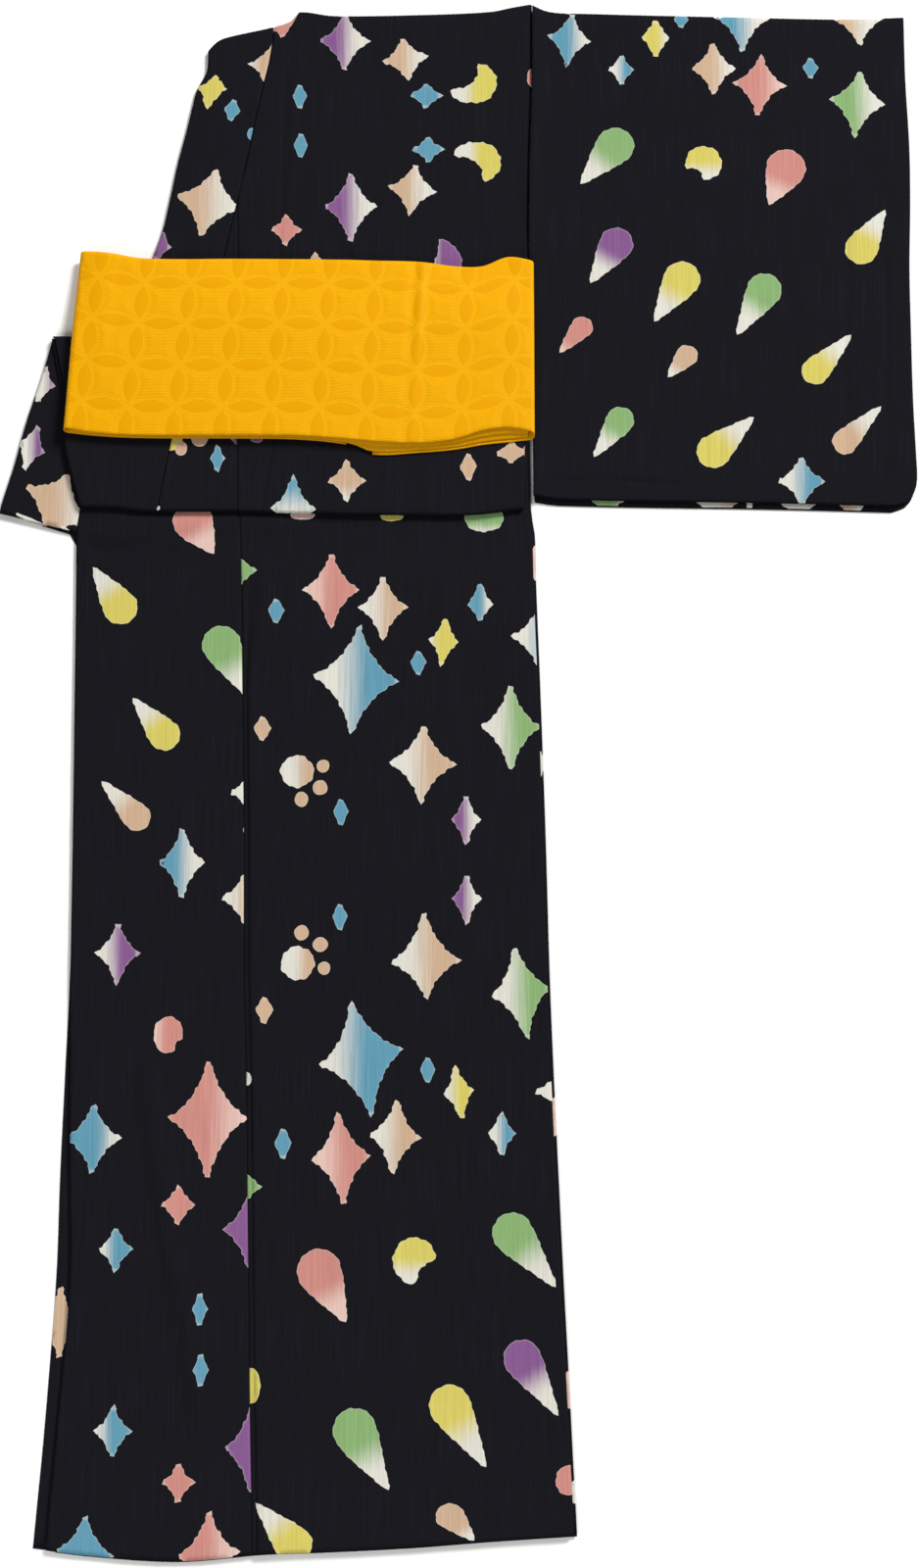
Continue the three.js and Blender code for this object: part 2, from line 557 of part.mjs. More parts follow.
// The outermost turn: from its inner tail under the bundle, round the left end, over the top,
// round the right end and back beneath to the tail that shows.
function sashTurn() {
  const half = SASH_CLOTH / 2;
  const radius = SASH_TOP / 2;
  const centre = radius + half;
  const leftCentre = SASH_ENDS.left + radius + half;
  const rightCentre = SASH_ENDS.right - radius - half;
  const turn = (x, from) => [30, 60, 90, 120, 150].map((angle) => {
    const a = THREE.MathUtils.degToRad(from - angle);
    const [nx, nz] = [Math.cos(a), Math.sin(a)];
    return { x: x + radius * nx, z: centre + radius * nz, nx, nz };
  });
  const low = (x) => ({ x, z: half, nx: 0, nz: -1 });
  const high = (x) => ({ x, z: SASH_TOP + half, nx: 0, nz: 1 });
  const path = [
    ...rowsBetween(SASH_ENDS.innerTail, leftCentre, 5).map(low),
    ...turn(leftCentre, 270),
    ...[leftCentre, ...SASH_SECTIONS.slice(1, -1).map((s) => s.x), rightCentre].map(high),
    ...turn(rightCentre, 90),
    ...rowsBetween(rightCentre, SASH_ENDS.tail, 4).map(low),
  ];
  const geometry = solidFromGrid(path, SASH_COLUMNS, (station, across, side) => {
    const upper = (station.nz + 1) / 2;
    const level = along(SASH_SECTIONS, 'x', 'upperEdge', station.x);
    const lower = along(SASH_SECTIONS, 'x', 'lowerEdge', station.x);
    const front = THREE.MathUtils.lerp(lower, level, upper);
    const back = along(SASH_SECTIONS, 'x', 'top', station.x) - SASH_TAPER * (1 - upper);
    const y = sashRow(front, back, across);
    const shift = (side - 0.5) * SASH_CLOTH;
    const x = station.x + station.nx * shift + sashLean(station.x, y);
    const rise = station.nz > 0.99 ? sashStep(x) : 0;
    return [x, y, sashRest(x, y) + station.z + station.nz * shift + rise];
  });
  return cloth('obi_outer_turn', geometry, SASH_YELLOW, 0.5);
}

function sashCore() {
  const loop = SASH_TOP / 2 + SASH_CLOTH + SEAM; // room that each end loop takes
  const rows = rowsBetween(SASH_ENDS.left + loop, SASH_ENDS.right - loop, 11);
  const geometry = layered(SASH_LAYERS, SASH_CORE_HEIGHT, (k, bottom, top) => {
    const block = k === null;
    const share = block ? 1 : k / SASH_LAYERS;
    const inset = block ? BLOCK_INSET : SASH_CLOTH + SEAM + (k % 2) * SASH_STAGGER;
    return solidFromGrid(rows, SASH_COLUMNS, (rowX, across, side) => {
      const upper = along(SASH_SECTIONS, 'x', 'upperEdge', rowX);
      const lower = along(SASH_SECTIONS, 'x', 'lowerEdge', rowX);
      const front = THREE.MathUtils.lerp(lower, upper, share) + inset;
      const back = along(SASH_SECTIONS, 'x', 'top', rowX) - SASH_TAPER - inset;
      const y = sashRow(front, back, across);
      // Only the end rows are set in, so that the layers stay parallel between them.
      const endwards = (rowX === rows[0]) - (rowX === rows[rows.length - 1]);
      const x = rowX + endwards * inset + sashLean(rowX, y);
      return [x, y, sashRest(x, y) + SASH_CLOTH + SEAM + (side ? top : bottom)];
    });
  });
  return cloth('obi_inner_turns', geometry, SASH_YELLOW, 0.5);
}

const yukata = new THREE.Group();
yukata.add(cloth('hidden_layers', hiddenLayers(), NAVY));
yukata.add(leftFront(), leftOverlap(), leftCollar());
yukata.add(leftSleeve(), rightSleeve());
yukata.add(sashTurn(), sashCore());

// The origin is the middle of the footprint, on the floor.
const bounds = new THREE.Box3().setFromObject(yukata);
const middle = bounds.getCenter(new THREE.Vector3());
yukata.position.set(-middle.x, -middle.y, -bounds.min.z);

export default yukata;
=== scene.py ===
"""A folded cotton yukata with its half-width obi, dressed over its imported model.

The robe lies flat and face up, folded in half down its back and tucked in a Z at the waist, with
the obi folded on it. Every sheet is laid again here as thin cloth along the same folds as its
solid, with its dyed motifs cut into its own mesh, its seams, creases and pressed unevenness.

Shapes are worked out in millimetres from the same tables as the model, and turned to metres
where a mesh is made. +Y points to the neck and +X to the sleeve.
"""

from __future__ import annotations

import logging
import math
import random
from dataclasses import dataclass, field
from enum import Enum
from typing import Callable, Sequence

import bpy
import numpy as np
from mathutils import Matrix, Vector
from mathutils.geometry import delaunay_2d_cdt
from mathutils.kdtree import KDTree


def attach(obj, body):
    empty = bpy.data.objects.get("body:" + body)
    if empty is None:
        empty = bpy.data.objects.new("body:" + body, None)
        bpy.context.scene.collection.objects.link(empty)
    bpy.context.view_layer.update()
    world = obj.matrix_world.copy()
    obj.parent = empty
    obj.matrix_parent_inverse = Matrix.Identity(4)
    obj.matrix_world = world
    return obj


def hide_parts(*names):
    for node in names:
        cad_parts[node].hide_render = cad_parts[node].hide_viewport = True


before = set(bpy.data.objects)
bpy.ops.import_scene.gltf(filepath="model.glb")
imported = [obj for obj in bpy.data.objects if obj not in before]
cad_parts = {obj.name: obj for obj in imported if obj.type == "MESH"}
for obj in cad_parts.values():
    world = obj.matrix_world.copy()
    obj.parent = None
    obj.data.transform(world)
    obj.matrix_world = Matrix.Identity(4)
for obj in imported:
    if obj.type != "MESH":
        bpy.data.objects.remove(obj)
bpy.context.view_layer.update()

log = logging.getLogger("yukata")

MM = 0.001

# The middle of the footprint in the tables' millimetres, which is the frame's origin.
FOOTPRINT_MIDDLE = (0.066, -0.557)

# Cloth and gaps, as in the model
SEAM = 0.3  # gap between sheets that are sewn together or lie on each other
STACK_LOW = 3.0  # top of the hidden stack away from the tuck
STACK_FULL = 9.3  # and over the tuck
UNDER_OBI = 1.8  # from the hidden stack's top to the obi: gap, cloth and gap
COTTON_THICKNESS = 0.9
HIDDEN_THICKNESS = 0.6

# The waist tuck and the ends along Y
TUCK_FOLD = 210.0
TUCK_CENTRE_Y = 213.0
TUCK_REACH = 85.0  # how far up from the tuck its uneven fold moves the cloth
RETURN_FOLD = 366.0
RETURN_CENTRE_Y = 364.65
RAMP_END = 472.0  # where the upper run is down on the single stack
TIP = 498.0  # of the overlap panel, where it meets the collar
NECK_ROW = 680.0
HEM_ROW = -686.0
BLEND = 80.0  # length over which rows bend onto an end's own line
SHOULDER_RADIUS = 1.35
COLLAR_END_OUTER = 206.0
COLLAR_END_SEAM = 189.0

# The dyed edge of a motif
RIM_WIDTH = 0.9  # of the pale line where the resist ended
LOOP_SPACING = 1.9  # between the points of its outline
FEWEST_POINTS = 28
BLEED_WAVES = ((19.0, 0.35), (11.0, 0.55), (6.5, 0.5))  # length along the edge, share of depth
BLEED_JITTER = 0.25
SMALL_MOTIF = 24.0  # a narrower motif has a calmer edge

SHARP_TURN = 12.0  # where a table's tangent is this far off, its line runs straight
ALIGN_STEPS = 12  # rounds of finding the row that bends onto a given place
FACE_UP = 0.99  # a side that points up more than this is a visible face
FAR = 1e9
TINY = 1e-6

Pair = tuple[np.ndarray, np.ndarray]
Places = list[tuple[float, float]]
Tree = bpy.types.NodeTree
Socket = bpy.types.NodeSocket


def smoothstep(value: np.ndarray | float, low: float, high: float) -> np.ndarray:
    """Rises smoothly from 0 at low to 1 at high."""
    t = np.clip((np.asarray(value, dtype=float) - low) / (high - low), 0.0, 1.0)
    return t * t * (3.0 - 2.0 * t)


class Line:
    """A smooth line through the points of a short table, read along its key."""

    def __init__(self, keys: Sequence[float], values: Sequence[float]) -> None:
        """Keeps the points in rising order of their keys.

        Args:
            keys: The column that is read along, rising or falling.
            values: The column that is read.
        """
        order = np.argsort(keys)
        self.keys = np.asarray(keys, dtype=float)[order]
        self.values = np.asarray(values, dtype=float)[order]

    def __call__(self, where: np.ndarray | float) -> np.ndarray:
        """Cubic interpolation that holds its tangents back at sharp turns.

        Args:
            where: Places along the key, held to the table's own ends.

        Returns:
            The values there.
        """
        keys, values = self.keys, self.values
        last = len(keys) - 1
        spot = np.clip(np.asarray(where, dtype=float), keys[0], keys[-1])
        i = np.clip(np.searchsorted(keys, spot, side="right") - 1, 0, last - 1)
        before, after = np.maximum(i - 1, 0), np.minimum(i + 2, last)
        span = keys[i + 1] - keys[i]
        t = (spot - keys[i]) / span
        here = values[i + 1] - values[i]
        leaving = (values[i + 1] - values[before]) / (keys[i + 1] - keys[before]) * span
        arriving = (values[after] - values[i]) / (keys[after] - keys[i]) * span
        leaving = np.where(np.abs(leaving - here) > SHARP_TURN, here, leaving)
        arriving = np.where(np.abs(arriving - here) > SHARP_TURN, here, arriving)
        t2, t3 = t * t, t * t * t
        return (
            (2 * t3 - 3 * t2 + 1) * values[i]
            + (t3 - 2 * t2 + t) * leaving
            + (3 * t2 - 2 * t3) * values[i + 1]
            + (t3 - t2) * arriving
        )


@dataclass(frozen=True)
class Row:
    """One section of the robe: its edges and seams along X at a height along Y."""

    y: float
    outer: float  # the left edge of all
    collar: float  # seam of the collar
    okumi: float  # seam between the overlap panel and the front
    side: float  # right edge of the body
    under: float = 0.0  # left edge of the right half beneath, below the tuck


UPPER_ROWS = (
    Row(680, -229, -169, -169, 66),
    Row(640, -230, -173, -173, 66),
    Row(606, -238, -179, -179, 65.5),
    Row(564, -247, -187, -187, 64),
    Row(530, -255, -193.5, -193.5, 63),
    Row(TIP, -261, -200, -200, 62.5),
    Row(465, -268, -207.5, -199.5, 62),
    Row(420, -283, -217, -199, 62),
    Row(370, -308, -230, -198, 61),
    Row(320, -332, -242, -197.5, 60),
    Row(276, -349, -254, -197, 58),
    Row(240, -343, -261.5, -196.5, 57),
    Row(TUCK_FOLD, -334, -267, -196, 57),
)
MIDDLE_ROWS = (
    Row(TUCK_FOLD, -334, -267, -196, 57),
    Row(262, -343, -278, -196, 58),
    Row(316, -354, -290, -196.5, 58.5),
    Row(RETURN_FOLD, -364, -300, -197, 59),
)
LOWER_ROWS = (
    Row(RETURN_FOLD, -364, -300, -197, 59, -363),
    Row(333, -372, -308, -196.5, 59, -370),
    Row(290, -385, -318, -196, 59.5, -383),
    Row(249, -395, -328, -195.5, 60, -394),
    Row(206, -406.8, -336, -194.5, 61, -404),
    Row(186, -406.8, -338, -193.5, 64, -339),
    Row(140, -406.8, -337.5, -192, 65, -336),
    Row(52, -406.8, -336.5, -190, 68, -335),
    Row(-78, -406.8, -335, -187, 72, -334),
    Row(-205, -406.8, -334, -185, 75, -335),
    Row(-289, -406.8, -332, -182, 78, -337),
    Row(-371, -406.8, -330, -180, 81.5, -339),
    Row(-453, -406.8, -328, -178, 85, -340),
    Row(-557, -406.8, -334, -175.5, 90, -345.5),
    Row(-640, -406.8, -340, -173, 93.5, -351),
    Row(HEM_ROW, -406.8, -342.5, -172, 95, -354),
)


class Run(Enum):
    """The three runs of the Z that the waist tuck folds a sheet into."""

    UPPER = 0
    MIDDLE = 1
    LOWER = 2


RUN_ROWS = {Run.UPPER: UPPER_ROWS, Run.MIDDLE: MIDDLE_ROWS, Run.LOWER: LOWER_ROWS}
RUN_LINES = {
    run: {
        name: Line([row.y for row in rows], [getattr(row, name) for row in rows])
        for name in ("outer", "collar", "okumi", "side", "under")
    }
    for run, rows in RUN_ROWS.items()
}

# How far the tuck's fold, the shoulder and the hem lie along Y, read along X.
TUCK_LINE = Line(
    (-334, -302, -280, -195, -146, -60, 10, 57),
    (0.7, -0.6, -3.4, -3.8, -5.2, -6.8, -6.8, -1.5),
)
SHOULDER_LINE = Line(
    (-230, -220, -208.5, -168.5, -153, -147.5, -115.5, -35, 28, 50, 66),
    (639, 649.5, 654, 663.5, 669.5, 677.5, 674, 675, 678, 682.5, 685.3),
)
HEM_LINE = Line(
    (-354, -303, -231, -163, -117, -39, 23, 97),
    (-676, -682, -686, -680.4, -678.8, -675, -670.3, -665.6),
)


def settle(x: np.ndarray, y: np.ndarray, trim: float) -> np.ndarray:
    """Bends the rows near an end of the robe onto that end's own line.

    Args:
        x: Places along X.
        y: The rows' own heights along Y.
        trim: How far inside the end line the sheet stops.

    Returns:
        The heights along Y after bending.
    """
    upper, lower = NECK_ROW - BLEND, HEM_ROW + BLEND
    near_top = np.clip((y - upper) / BLEND, 0.0, None)
    near_hem = np.clip((lower - y) / BLEND, 0.0, None)
    flat = np.clip(y, lower, upper)
    return (
        flat
        + near_top * (SHOULDER_LINE(x) - trim - upper)
        + near_hem * (HEM_LINE(x) + trim - lower)
    )


def tuck_shift(x: np.ndarray, y: np.ndarray) -> np.ndarray:
    """How far the tuck's uneven fold moves a point of the upper or middle run along Y."""
    return smoothstep(TUCK_FOLD + TUCK_REACH - y, 0.0, TUCK_REACH) * TUCK_LINE(x)


def ramp(y: np.ndarray) -> np.ndarray:
    """0 where the upper run lies on the single stack, 1 where it lies on the tuck."""
    return smoothstep(RAMP_END - np.asarray(y, dtype=float), 0.0, RAMP_END - RETURN_FOLD)


def stack_top(y: np.ndarray) -> np.ndarray:
    """Height of the hidden stack under the upper run."""
    return STACK_LOW + ramp(y) * (STACK_FULL - STACK_LOW)


class PhotoPlane:
    """Turns a place read off the photograph, in its pixels, into millimetres on the laid robe.

    The camera stands over the robe, a little towards the hem, so a place higher up lies
    further in than it looks.
    """

    middle = (469.0, 800.0)
    scale = 1.172  # pixels to a millimetre at the middle of the picture
    growth = 6.27e-5  # of that scale with each pixel down
    tilt = math.radians(8.0)
    look_y = -35.0
    eye = (0.0, -301.0, 1893.0)
    lens = 50.42

    def scale_at(self, py: float) -> float:
        """Pixels to a millimetre at a height in the picture."""
        return self.scale * (1 + self.growth * (py - self.middle[1]))

    def place(self, px: float, py: float, height: float) -> tuple[float, float]:
        """Where a pixel lies on a surface.

        Args:
            px: Pixels from the left.
            py: Pixels from the top.
            height: The surface's height above the floor, in millimetres.

        Returns:
            X and Y in the tables' millimetres.
        """
        s = self.scale_at(py)
        x = (px - self.middle[0]) / s
        y = -(py - self.middle[1]) / (s * math.cos(self.tilt)) + self.look_y
        lift = height / self.eye[2]
        return x - x * lift, y + (self.eye[1] - y) * lift


PHOTO = PhotoPlane()


class Dye(Enum):
    """The dyes of the motifs, as sRGB hex, and the bare cotton they fade to."""

    BLUE = "#588ca1"
    PINK = "#bb7f76"
    PALE_PINK = "#cfb0a6"
    PEACH = "#bb9e83"
    YELLOW = "#c3b75b"
    GREEN = "#7da068"
    PURPLE = "#7b5282"
    CREAM = "#cbc8be"


class Fade(Enum):
    """Which way a motif's dye fades, as a step in the picture's own directions."""

    RIGHT = (1.0, 0.0)
    LEFT = (-1.0, 0.0)
    DOWN = (0.0, 1.0)


WHOLE = 0.95  # start of a fade that never comes: the dye covers nearly the whole motif
MOSTLY = 0.6
HALF = 0.3
BARE = -0.4  # start of a fade that is over before the motif begins


@dataclass(frozen=True)
class Motif:
    """A dyed motif: its middle and size in the photograph's pixels, its dyes and its tilt.

    Each is one of the cloth's plain repeat: a star with hollow sides, a diamond, a ball, a
    ball with a bite, a crescent or a drop.
    """

    x: float
    y: float
    wide: float
    high: float
    dye: Dye
    start: float = HALF  # share of its extent along the fade where the dye starts to fade
    fade: Fade = Fade.RIGHT
    tilt: float = 0.0  # degrees, turning clockwise in the picture
    power = 2.0  # of its outline: under 1 for hollow sides, 1 for straight ones, 2 for a ball
    waist = 0.5  # share of its height at which it is widest, from the top
    count = 48  # points round its plain outline
    ragged = 0.8  # how uneven its edge is, in millimetres
    blunt = 2.0  # how round its points are, in millimetres
    fade_share = 0.5  # of its extent, over which the dye fades

    @property
    def second(self) -> Dye:
        """What its dye fades to: pink to a paler pink, the others to bare cotton."""
        return Dye.PALE_PINK if self.dye is Dye.PINK else Dye.CREAM

    def form(self) -> Places:
        """Its outline about its middle, from -1 to 1, with +Y down the picture."""
        points = []
        middle = 2 * self.waist - 1
        for k in range(self.count):
            angle = 2 * math.pi * k / self.count
            c, s = math.cos(angle), math.sin(angle)
            x = math.copysign(abs(c) ** (2 / self.power), c)
            y = math.copysign(abs(s) ** (2 / self.power), s)
            points.append((x, middle + y * (1 - middle if y > 0 else 1 + middle)))
        return points

    def outline(self, seed: int) -> np.ndarray:
        """Its outline in millimetres about its middle, with +Y up the robe.

        Args:
            seed: Sets the unevenness of its edge.

        Returns:
            An array of points, evenly spaced.
        """
        scale = PHOTO.scale_at(self.y)
        turn = math.radians(-self.tilt)
        shape = np.array(self.form(), dtype=float)
        blunt = min(self.blunt, 0.2 * min(self.wide, self.high) / scale)
        shape[:, 0] *= self.wide / 2 / scale - blunt
        shape[:, 1] *= -(self.high / 2 / scale / math.cos(PHOTO.tilt) - blunt)
        c, s = math.cos(turn), math.sin(turn)
        shape = shape @ np.array([[c, s], [-s, c]])
        return ragged_loop(shape, self.ragged, blunt, seed)

    def fade_at(self, points: np.ndarray) -> np.ndarray:
        """How far each point has faded, 0 where the fade starts and 1 where it ends.

        Args:
            points: Places in millimetres about its middle.

        Returns:
            A number for each, not held to 0 and 1.
        """
        dx, dy = self.fade.value
        scale = PHOTO.scale_at(self.y)
        extent = (abs(dx) * self.wide + abs(dy) * self.high) / scale
        along = (points[:, 0] * dx - points[:, 1] * dy) / extent + 0.5
        return (along - self.start) / self.fade_share


def winding(loop: np.ndarray) -> float:
    """1 for an outline that runs anticlockwise, -1 for one that runs clockwise."""
    x, y = loop.T
    return float(np.sign(np.sum(x * np.roll(y, -1) - np.roll(x, -1) * y)))


def ragged_loop(shape: np.ndarray, ragged: float, grown: float, seed: int) -> np.ndarray:
    """Spaces a closed outline evenly and makes its edge uneven, as dye bleeds in cotton.

    Args:
        shape: The outline's points.
        ragged: Depth of the unevenness.
        grown: How far the outline is moved out, which rounds its points.
        seed: Sets the unevenness.

    Returns:
        The new outline's points.
    """
    closed = np.vstack([shape, shape[:1]])
    steps = np.hypot(*np.diff(closed, axis=0).T)
    reach = np.concatenate([[0.0], np.cumsum(steps)])
    count = max(int(reach[-1] / LOOP_SPACING), FEWEST_POINTS)
    at = np.linspace(0.0, reach[-1], count, endpoint=False)
    x = np.interp(at, reach, closed[:, 0])
    y = np.interp(at, reach, closed[:, 1])
    rng = random.Random(seed)
    wave = np.zeros(count)
    for period, share in BLEED_WAVES:
        cycles = max(round(reach[-1] / period), 1)
        wave += share * np.sin(2 * math.pi * cycles * at / reach[-1] + rng.uniform(0, 2 * math.pi))
    wave += np.array([rng.uniform(-BLEED_JITTER, BLEED_JITTER) for _ in range(count)])
    calm = min(1.0, min(np.ptp(x), np.ptp(y)) / SMALL_MOTIF)
    ahead_x, ahead_y = np.roll(x, -1) - np.roll(x, 1), np.roll(y, -1) - np.roll(y, 1)
    length = np.maximum(np.hypot(ahead_x, ahead_y), TINY)
    out = (grown + wave * ragged * calm) * winding(np.column_stack([x, y]))
    return np.column_stack([x + out * ahead_y / length, y - out * ahead_x / length])


def inset_loop(loop: np.ndarray, depth: float) -> np.ndarray:
    """A closed outline moved inward by a depth, less where it is narrow."""
    ahead = np.roll(loop, -2, axis=0) - np.roll(loop, 2, axis=0)
    length = np.maximum(np.hypot(ahead[:, 0], ahead[:, 1]), TINY)
    outward = np.column_stack([ahead[:, 1], -ahead[:, 0]])
    moved = loop - winding(loop) * depth * outward / length[:, None]
    kept = distance_to_loop(moved, loop) > depth * 0.8
    return moved[kept] if np.count_nonzero(kept) > 5 else loop * 0.7


def distance_to_loop(points: np.ndarray, loop: np.ndarray) -> np.ndarray:
    """Distance of each point to the nearest side of a closed outline."""
    nearest = np.full(len(points), FAR)
    for p, q in zip(loop, np.roll(loop, -1, axis=0)):
        step = q - p
        share = np.clip(((points - p) @ step) / max(float(step @ step), 1e-9), 0.0, 1.0)
        gap = points - p - share[:, None] * step
        nearest = np.minimum(nearest, np.hypot(gap[:, 0], gap[:, 1]))
    return nearest


@dataclass(frozen=True)
class Star(Motif):
    """A star of four points with hollow sides."""

    power, count = 0.71, 96

    waist: float = 0.49


class Diamond(Motif):
    """A small diamond."""

    power, waist = 0.84, 0.47


class Ball(Motif):
    """A ball or a dot."""


@dataclass(frozen=True)
class BittenBall(Motif):
    """A ball with a round bite out of its lower edge."""

    count = 60

    bite_x: float = 0.6
    bite_y: float = 0.75
    bite: float = 0.55  # radius of the bite, where the ball's is 1

    def form(self) -> Places:
        """The ball's outline, drawn in to the bite's edge."""
        points = []
        for x, y in super().form():
            dx, dy = x - self.bite_x, y - self.bite_y
            past = dx * dx + dy * dy - self.bite * self.bite
            if past < 0:
                inward = x * dx + y * dy
                reach = inward + math.sqrt(inward * inward - past)
                x, y = x * (1 - reach), y * (1 - reach)
            points.append((x, y))
        return points


@dataclass(frozen=True)
class Crescent(Motif):
    """A fat crescent round its right side, open to the left, its left point the longer."""

    fade_share = 0.35
    first, last = 62.0, 296.0  # degrees from the middle of its opening to its two points
    longer = 0.28  # how much further its left point reaches
    hollow = 0.54  # how far past its middle its inner edge is drawn
    open_x = -0.45

    open_y: float = -0.4  # height of its opening, under 0 above its middle

    def form(self) -> Places:
        """Its outer arc and back along its inner one."""
        towards = math.atan2(self.open_y, self.open_x)
        outer, inner = [], []
        outer_steps, inner_steps = 26, 14
        for k in range(outer_steps + 1):
            turned = self.first + (self.last - self.first) * k / outer_steps
            angle = towards + math.radians(turned)
            reach = 1 + self.longer * float(smoothstep(-math.cos(angle), 0.2, 0.95))
            outer.append((reach * math.cos(angle), reach * math.sin(angle)))
        # Its inner edge is a curve that is drawn towards a place past its middle.
        deepest = (-math.cos(towards) * self.hollow, -math.sin(towards) * self.hollow)
        for k in range(1, inner_steps):
            t = k / inner_steps
            ends = zip(outer[-1], deepest, outer[0])
            inner.append(
                tuple((1 - t) ** 2 * a + 2 * t * (1 - t) * b + t * t * c for a, b, c in ends)
            )
        loop = np.array(outer + inner)
        low, high = loop.min(axis=0), loop.max(axis=0)
        return [(float(x), float(y)) for x, y in (2 * loop - low - high) / (high - low)]


@dataclass(frozen=True)
class Drop(Motif):
    """A drop: x and y are the middle of its round end, wide its breadth, and its tip is given."""

    ragged = 0.5
    fullness = 0.05  # how much its flanks swell

    tip_x: float = 0.0
    tip_y: float = 0.0

    def tip(self) -> np.ndarray:
        """Where its tip lies from its round end's middle, in millimetres, with +Y up the robe."""
        return np.array([self.tip_x - self.x, self.y - self.tip_y]) / PHOTO.scale_at(self.y)

    def outline(self, seed: int) -> np.ndarray:
        """Its outline in millimetres about its round end, with +Y up the robe."""
        tip = self.tip()
        reach = float(np.hypot(*tip)) - self.blunt
        radius = self.wide / 2 / PHOTO.scale_at(self.y) - self.blunt
        towards = math.atan2(tip[1], tip[0])
        flank = math.acos(radius / reach)  # from the tip's direction to where its side begins
        shape = []
        for degrees in range(0, 360, 4):
            angle = math.radians(degrees)
            turned = min(angle, 2 * math.pi - angle)
            size = radius
            if turned < flank:
                size = radius / math.cos(flank - turned)
                size *= 1 + self.fullness * math.sin(math.pi * turned / flank)
            shape.append((size * math.cos(angle + towards), size * math.sin(angle + towards)))
        return ragged_loop(np.array(shape), self.ragged, self.blunt, seed)

    def fade_at(self, points: np.ndarray) -> np.ndarray:
        """Fades from its round end to its tip."""
        tip = self.tip()
        along = (points @ tip) / float(tip @ tip)
        return (along - self.start) / self.fade_share


def drop(
    x: float, y: float, tip_x: float, tip_y: float, dye: Dye, wide: float, start: float = 0.16
) -> Drop:
    """A drop of a dye that fades to bare cotton at its tip."""
    return Drop(x, y, wide, wide, dye, start, tip_x=tip_x, tip_y=tip_y)


BLUE, PINK, PEACH = Dye.BLUE, Dye.PINK, Dye.PEACH
YELLOW, GREEN, PURPLE, CREAM = Dye.YELLOW, Dye.GREEN, Dye.PURPLE, Dye.CREAM
LEFT, DOWN = Fade.LEFT, Fade.DOWN

# The motifs of each panel, as they lie: middle, size, dye, and where and which way it fades.
# A drop has its round end, its tip, its dye and its breadth. The upper ones lie above the
# waist tuck, the lower ones below it.
COLLAR_UPPER = (
    Diamond(216, 91, 31, 50, YELLOW, WHOLE, tilt=10),
    Diamond(237, 113, 17, 25, BLUE, WHOLE, tilt=10),
    Ball(257, 137, 9, 13, BLUE, WHOLE),
    Star(276, 66, 46, 66, PEACH, MOSTLY, LEFT, tilt=8),
    Star(213, 207, 70, 76, PEACH, tilt=12),
    Star(163, 251, 24, 36, PURPLE, WHOLE, tilt=10),
)
COLLAR_LOWER = (
    Star(43, 392, 27, 42, PURPLE, 0.0, LEFT, tilt=10),
    Star(32, 456, 28, 50, PURPLE, 0.2, LEFT, tilt=16),
    Star(58.5, 505, 71, 66, PEACH, 0.4, tilt=20),
    Ball(36, 526.5, 42, 3.6, CREAM, tilt=10),
    Ball(67, 537, 11, 3.4, CREAM, tilt=18),
)
FRONT_UPPER = (
    Star(289, 26, 30, 34, PINK, WHOLE),
    Star(352, 43, 53, 70, PURPLE),
    Star(414, 61, 48, 52, PEACH, 0.35, tilt=-8),
    Diamond(306, 99, 15, 29, BLUE, WHOLE),
    Diamond(307, 149, 15, 29, BLUE, WHOLE),
    Star(435, 98, 34, 30, BLUE, WHOLE),
    Star(437, 153, 34, 30, BLUE, WHOLE),
    Crescent(483, 85, 48, 43.5, YELLOW, 0.4, LEFT),
    Crescent(487, 165.5, 48.5, 42, YELLOW, 0.4, LEFT, open_y=0.4),
    Ball(546, 80, 16, 22, PINK, WHOLE),
    Star(358, 212, 54, 76, PURPLE),
    Star(421, 194, 50, 56, PEACH, HALF, tilt=6),
    Star(292, 235, 32, 35, PINK, WHOLE),
    Star(322, 270, 22, 28, PEACH, WHOLE),
    Crescent(440.5, 271, 62, 57, PURPLE, HALF, LEFT),
    Star(354, 491, 39, 42, PEACH, 0.5, DOWN),
    Star(299, 524, 46, 69, BLUE, 0.12, DOWN),
    Diamond(478, 477, 18, 28, PEACH, WHOLE),
    Star(522, 462, 34, 24, PEACH, WHOLE),
    Diamond(540, 462, 13, 40, PINK, WHOLE),
    Ball(262, 446, 14, 12, PURPLE, WHOLE),
)
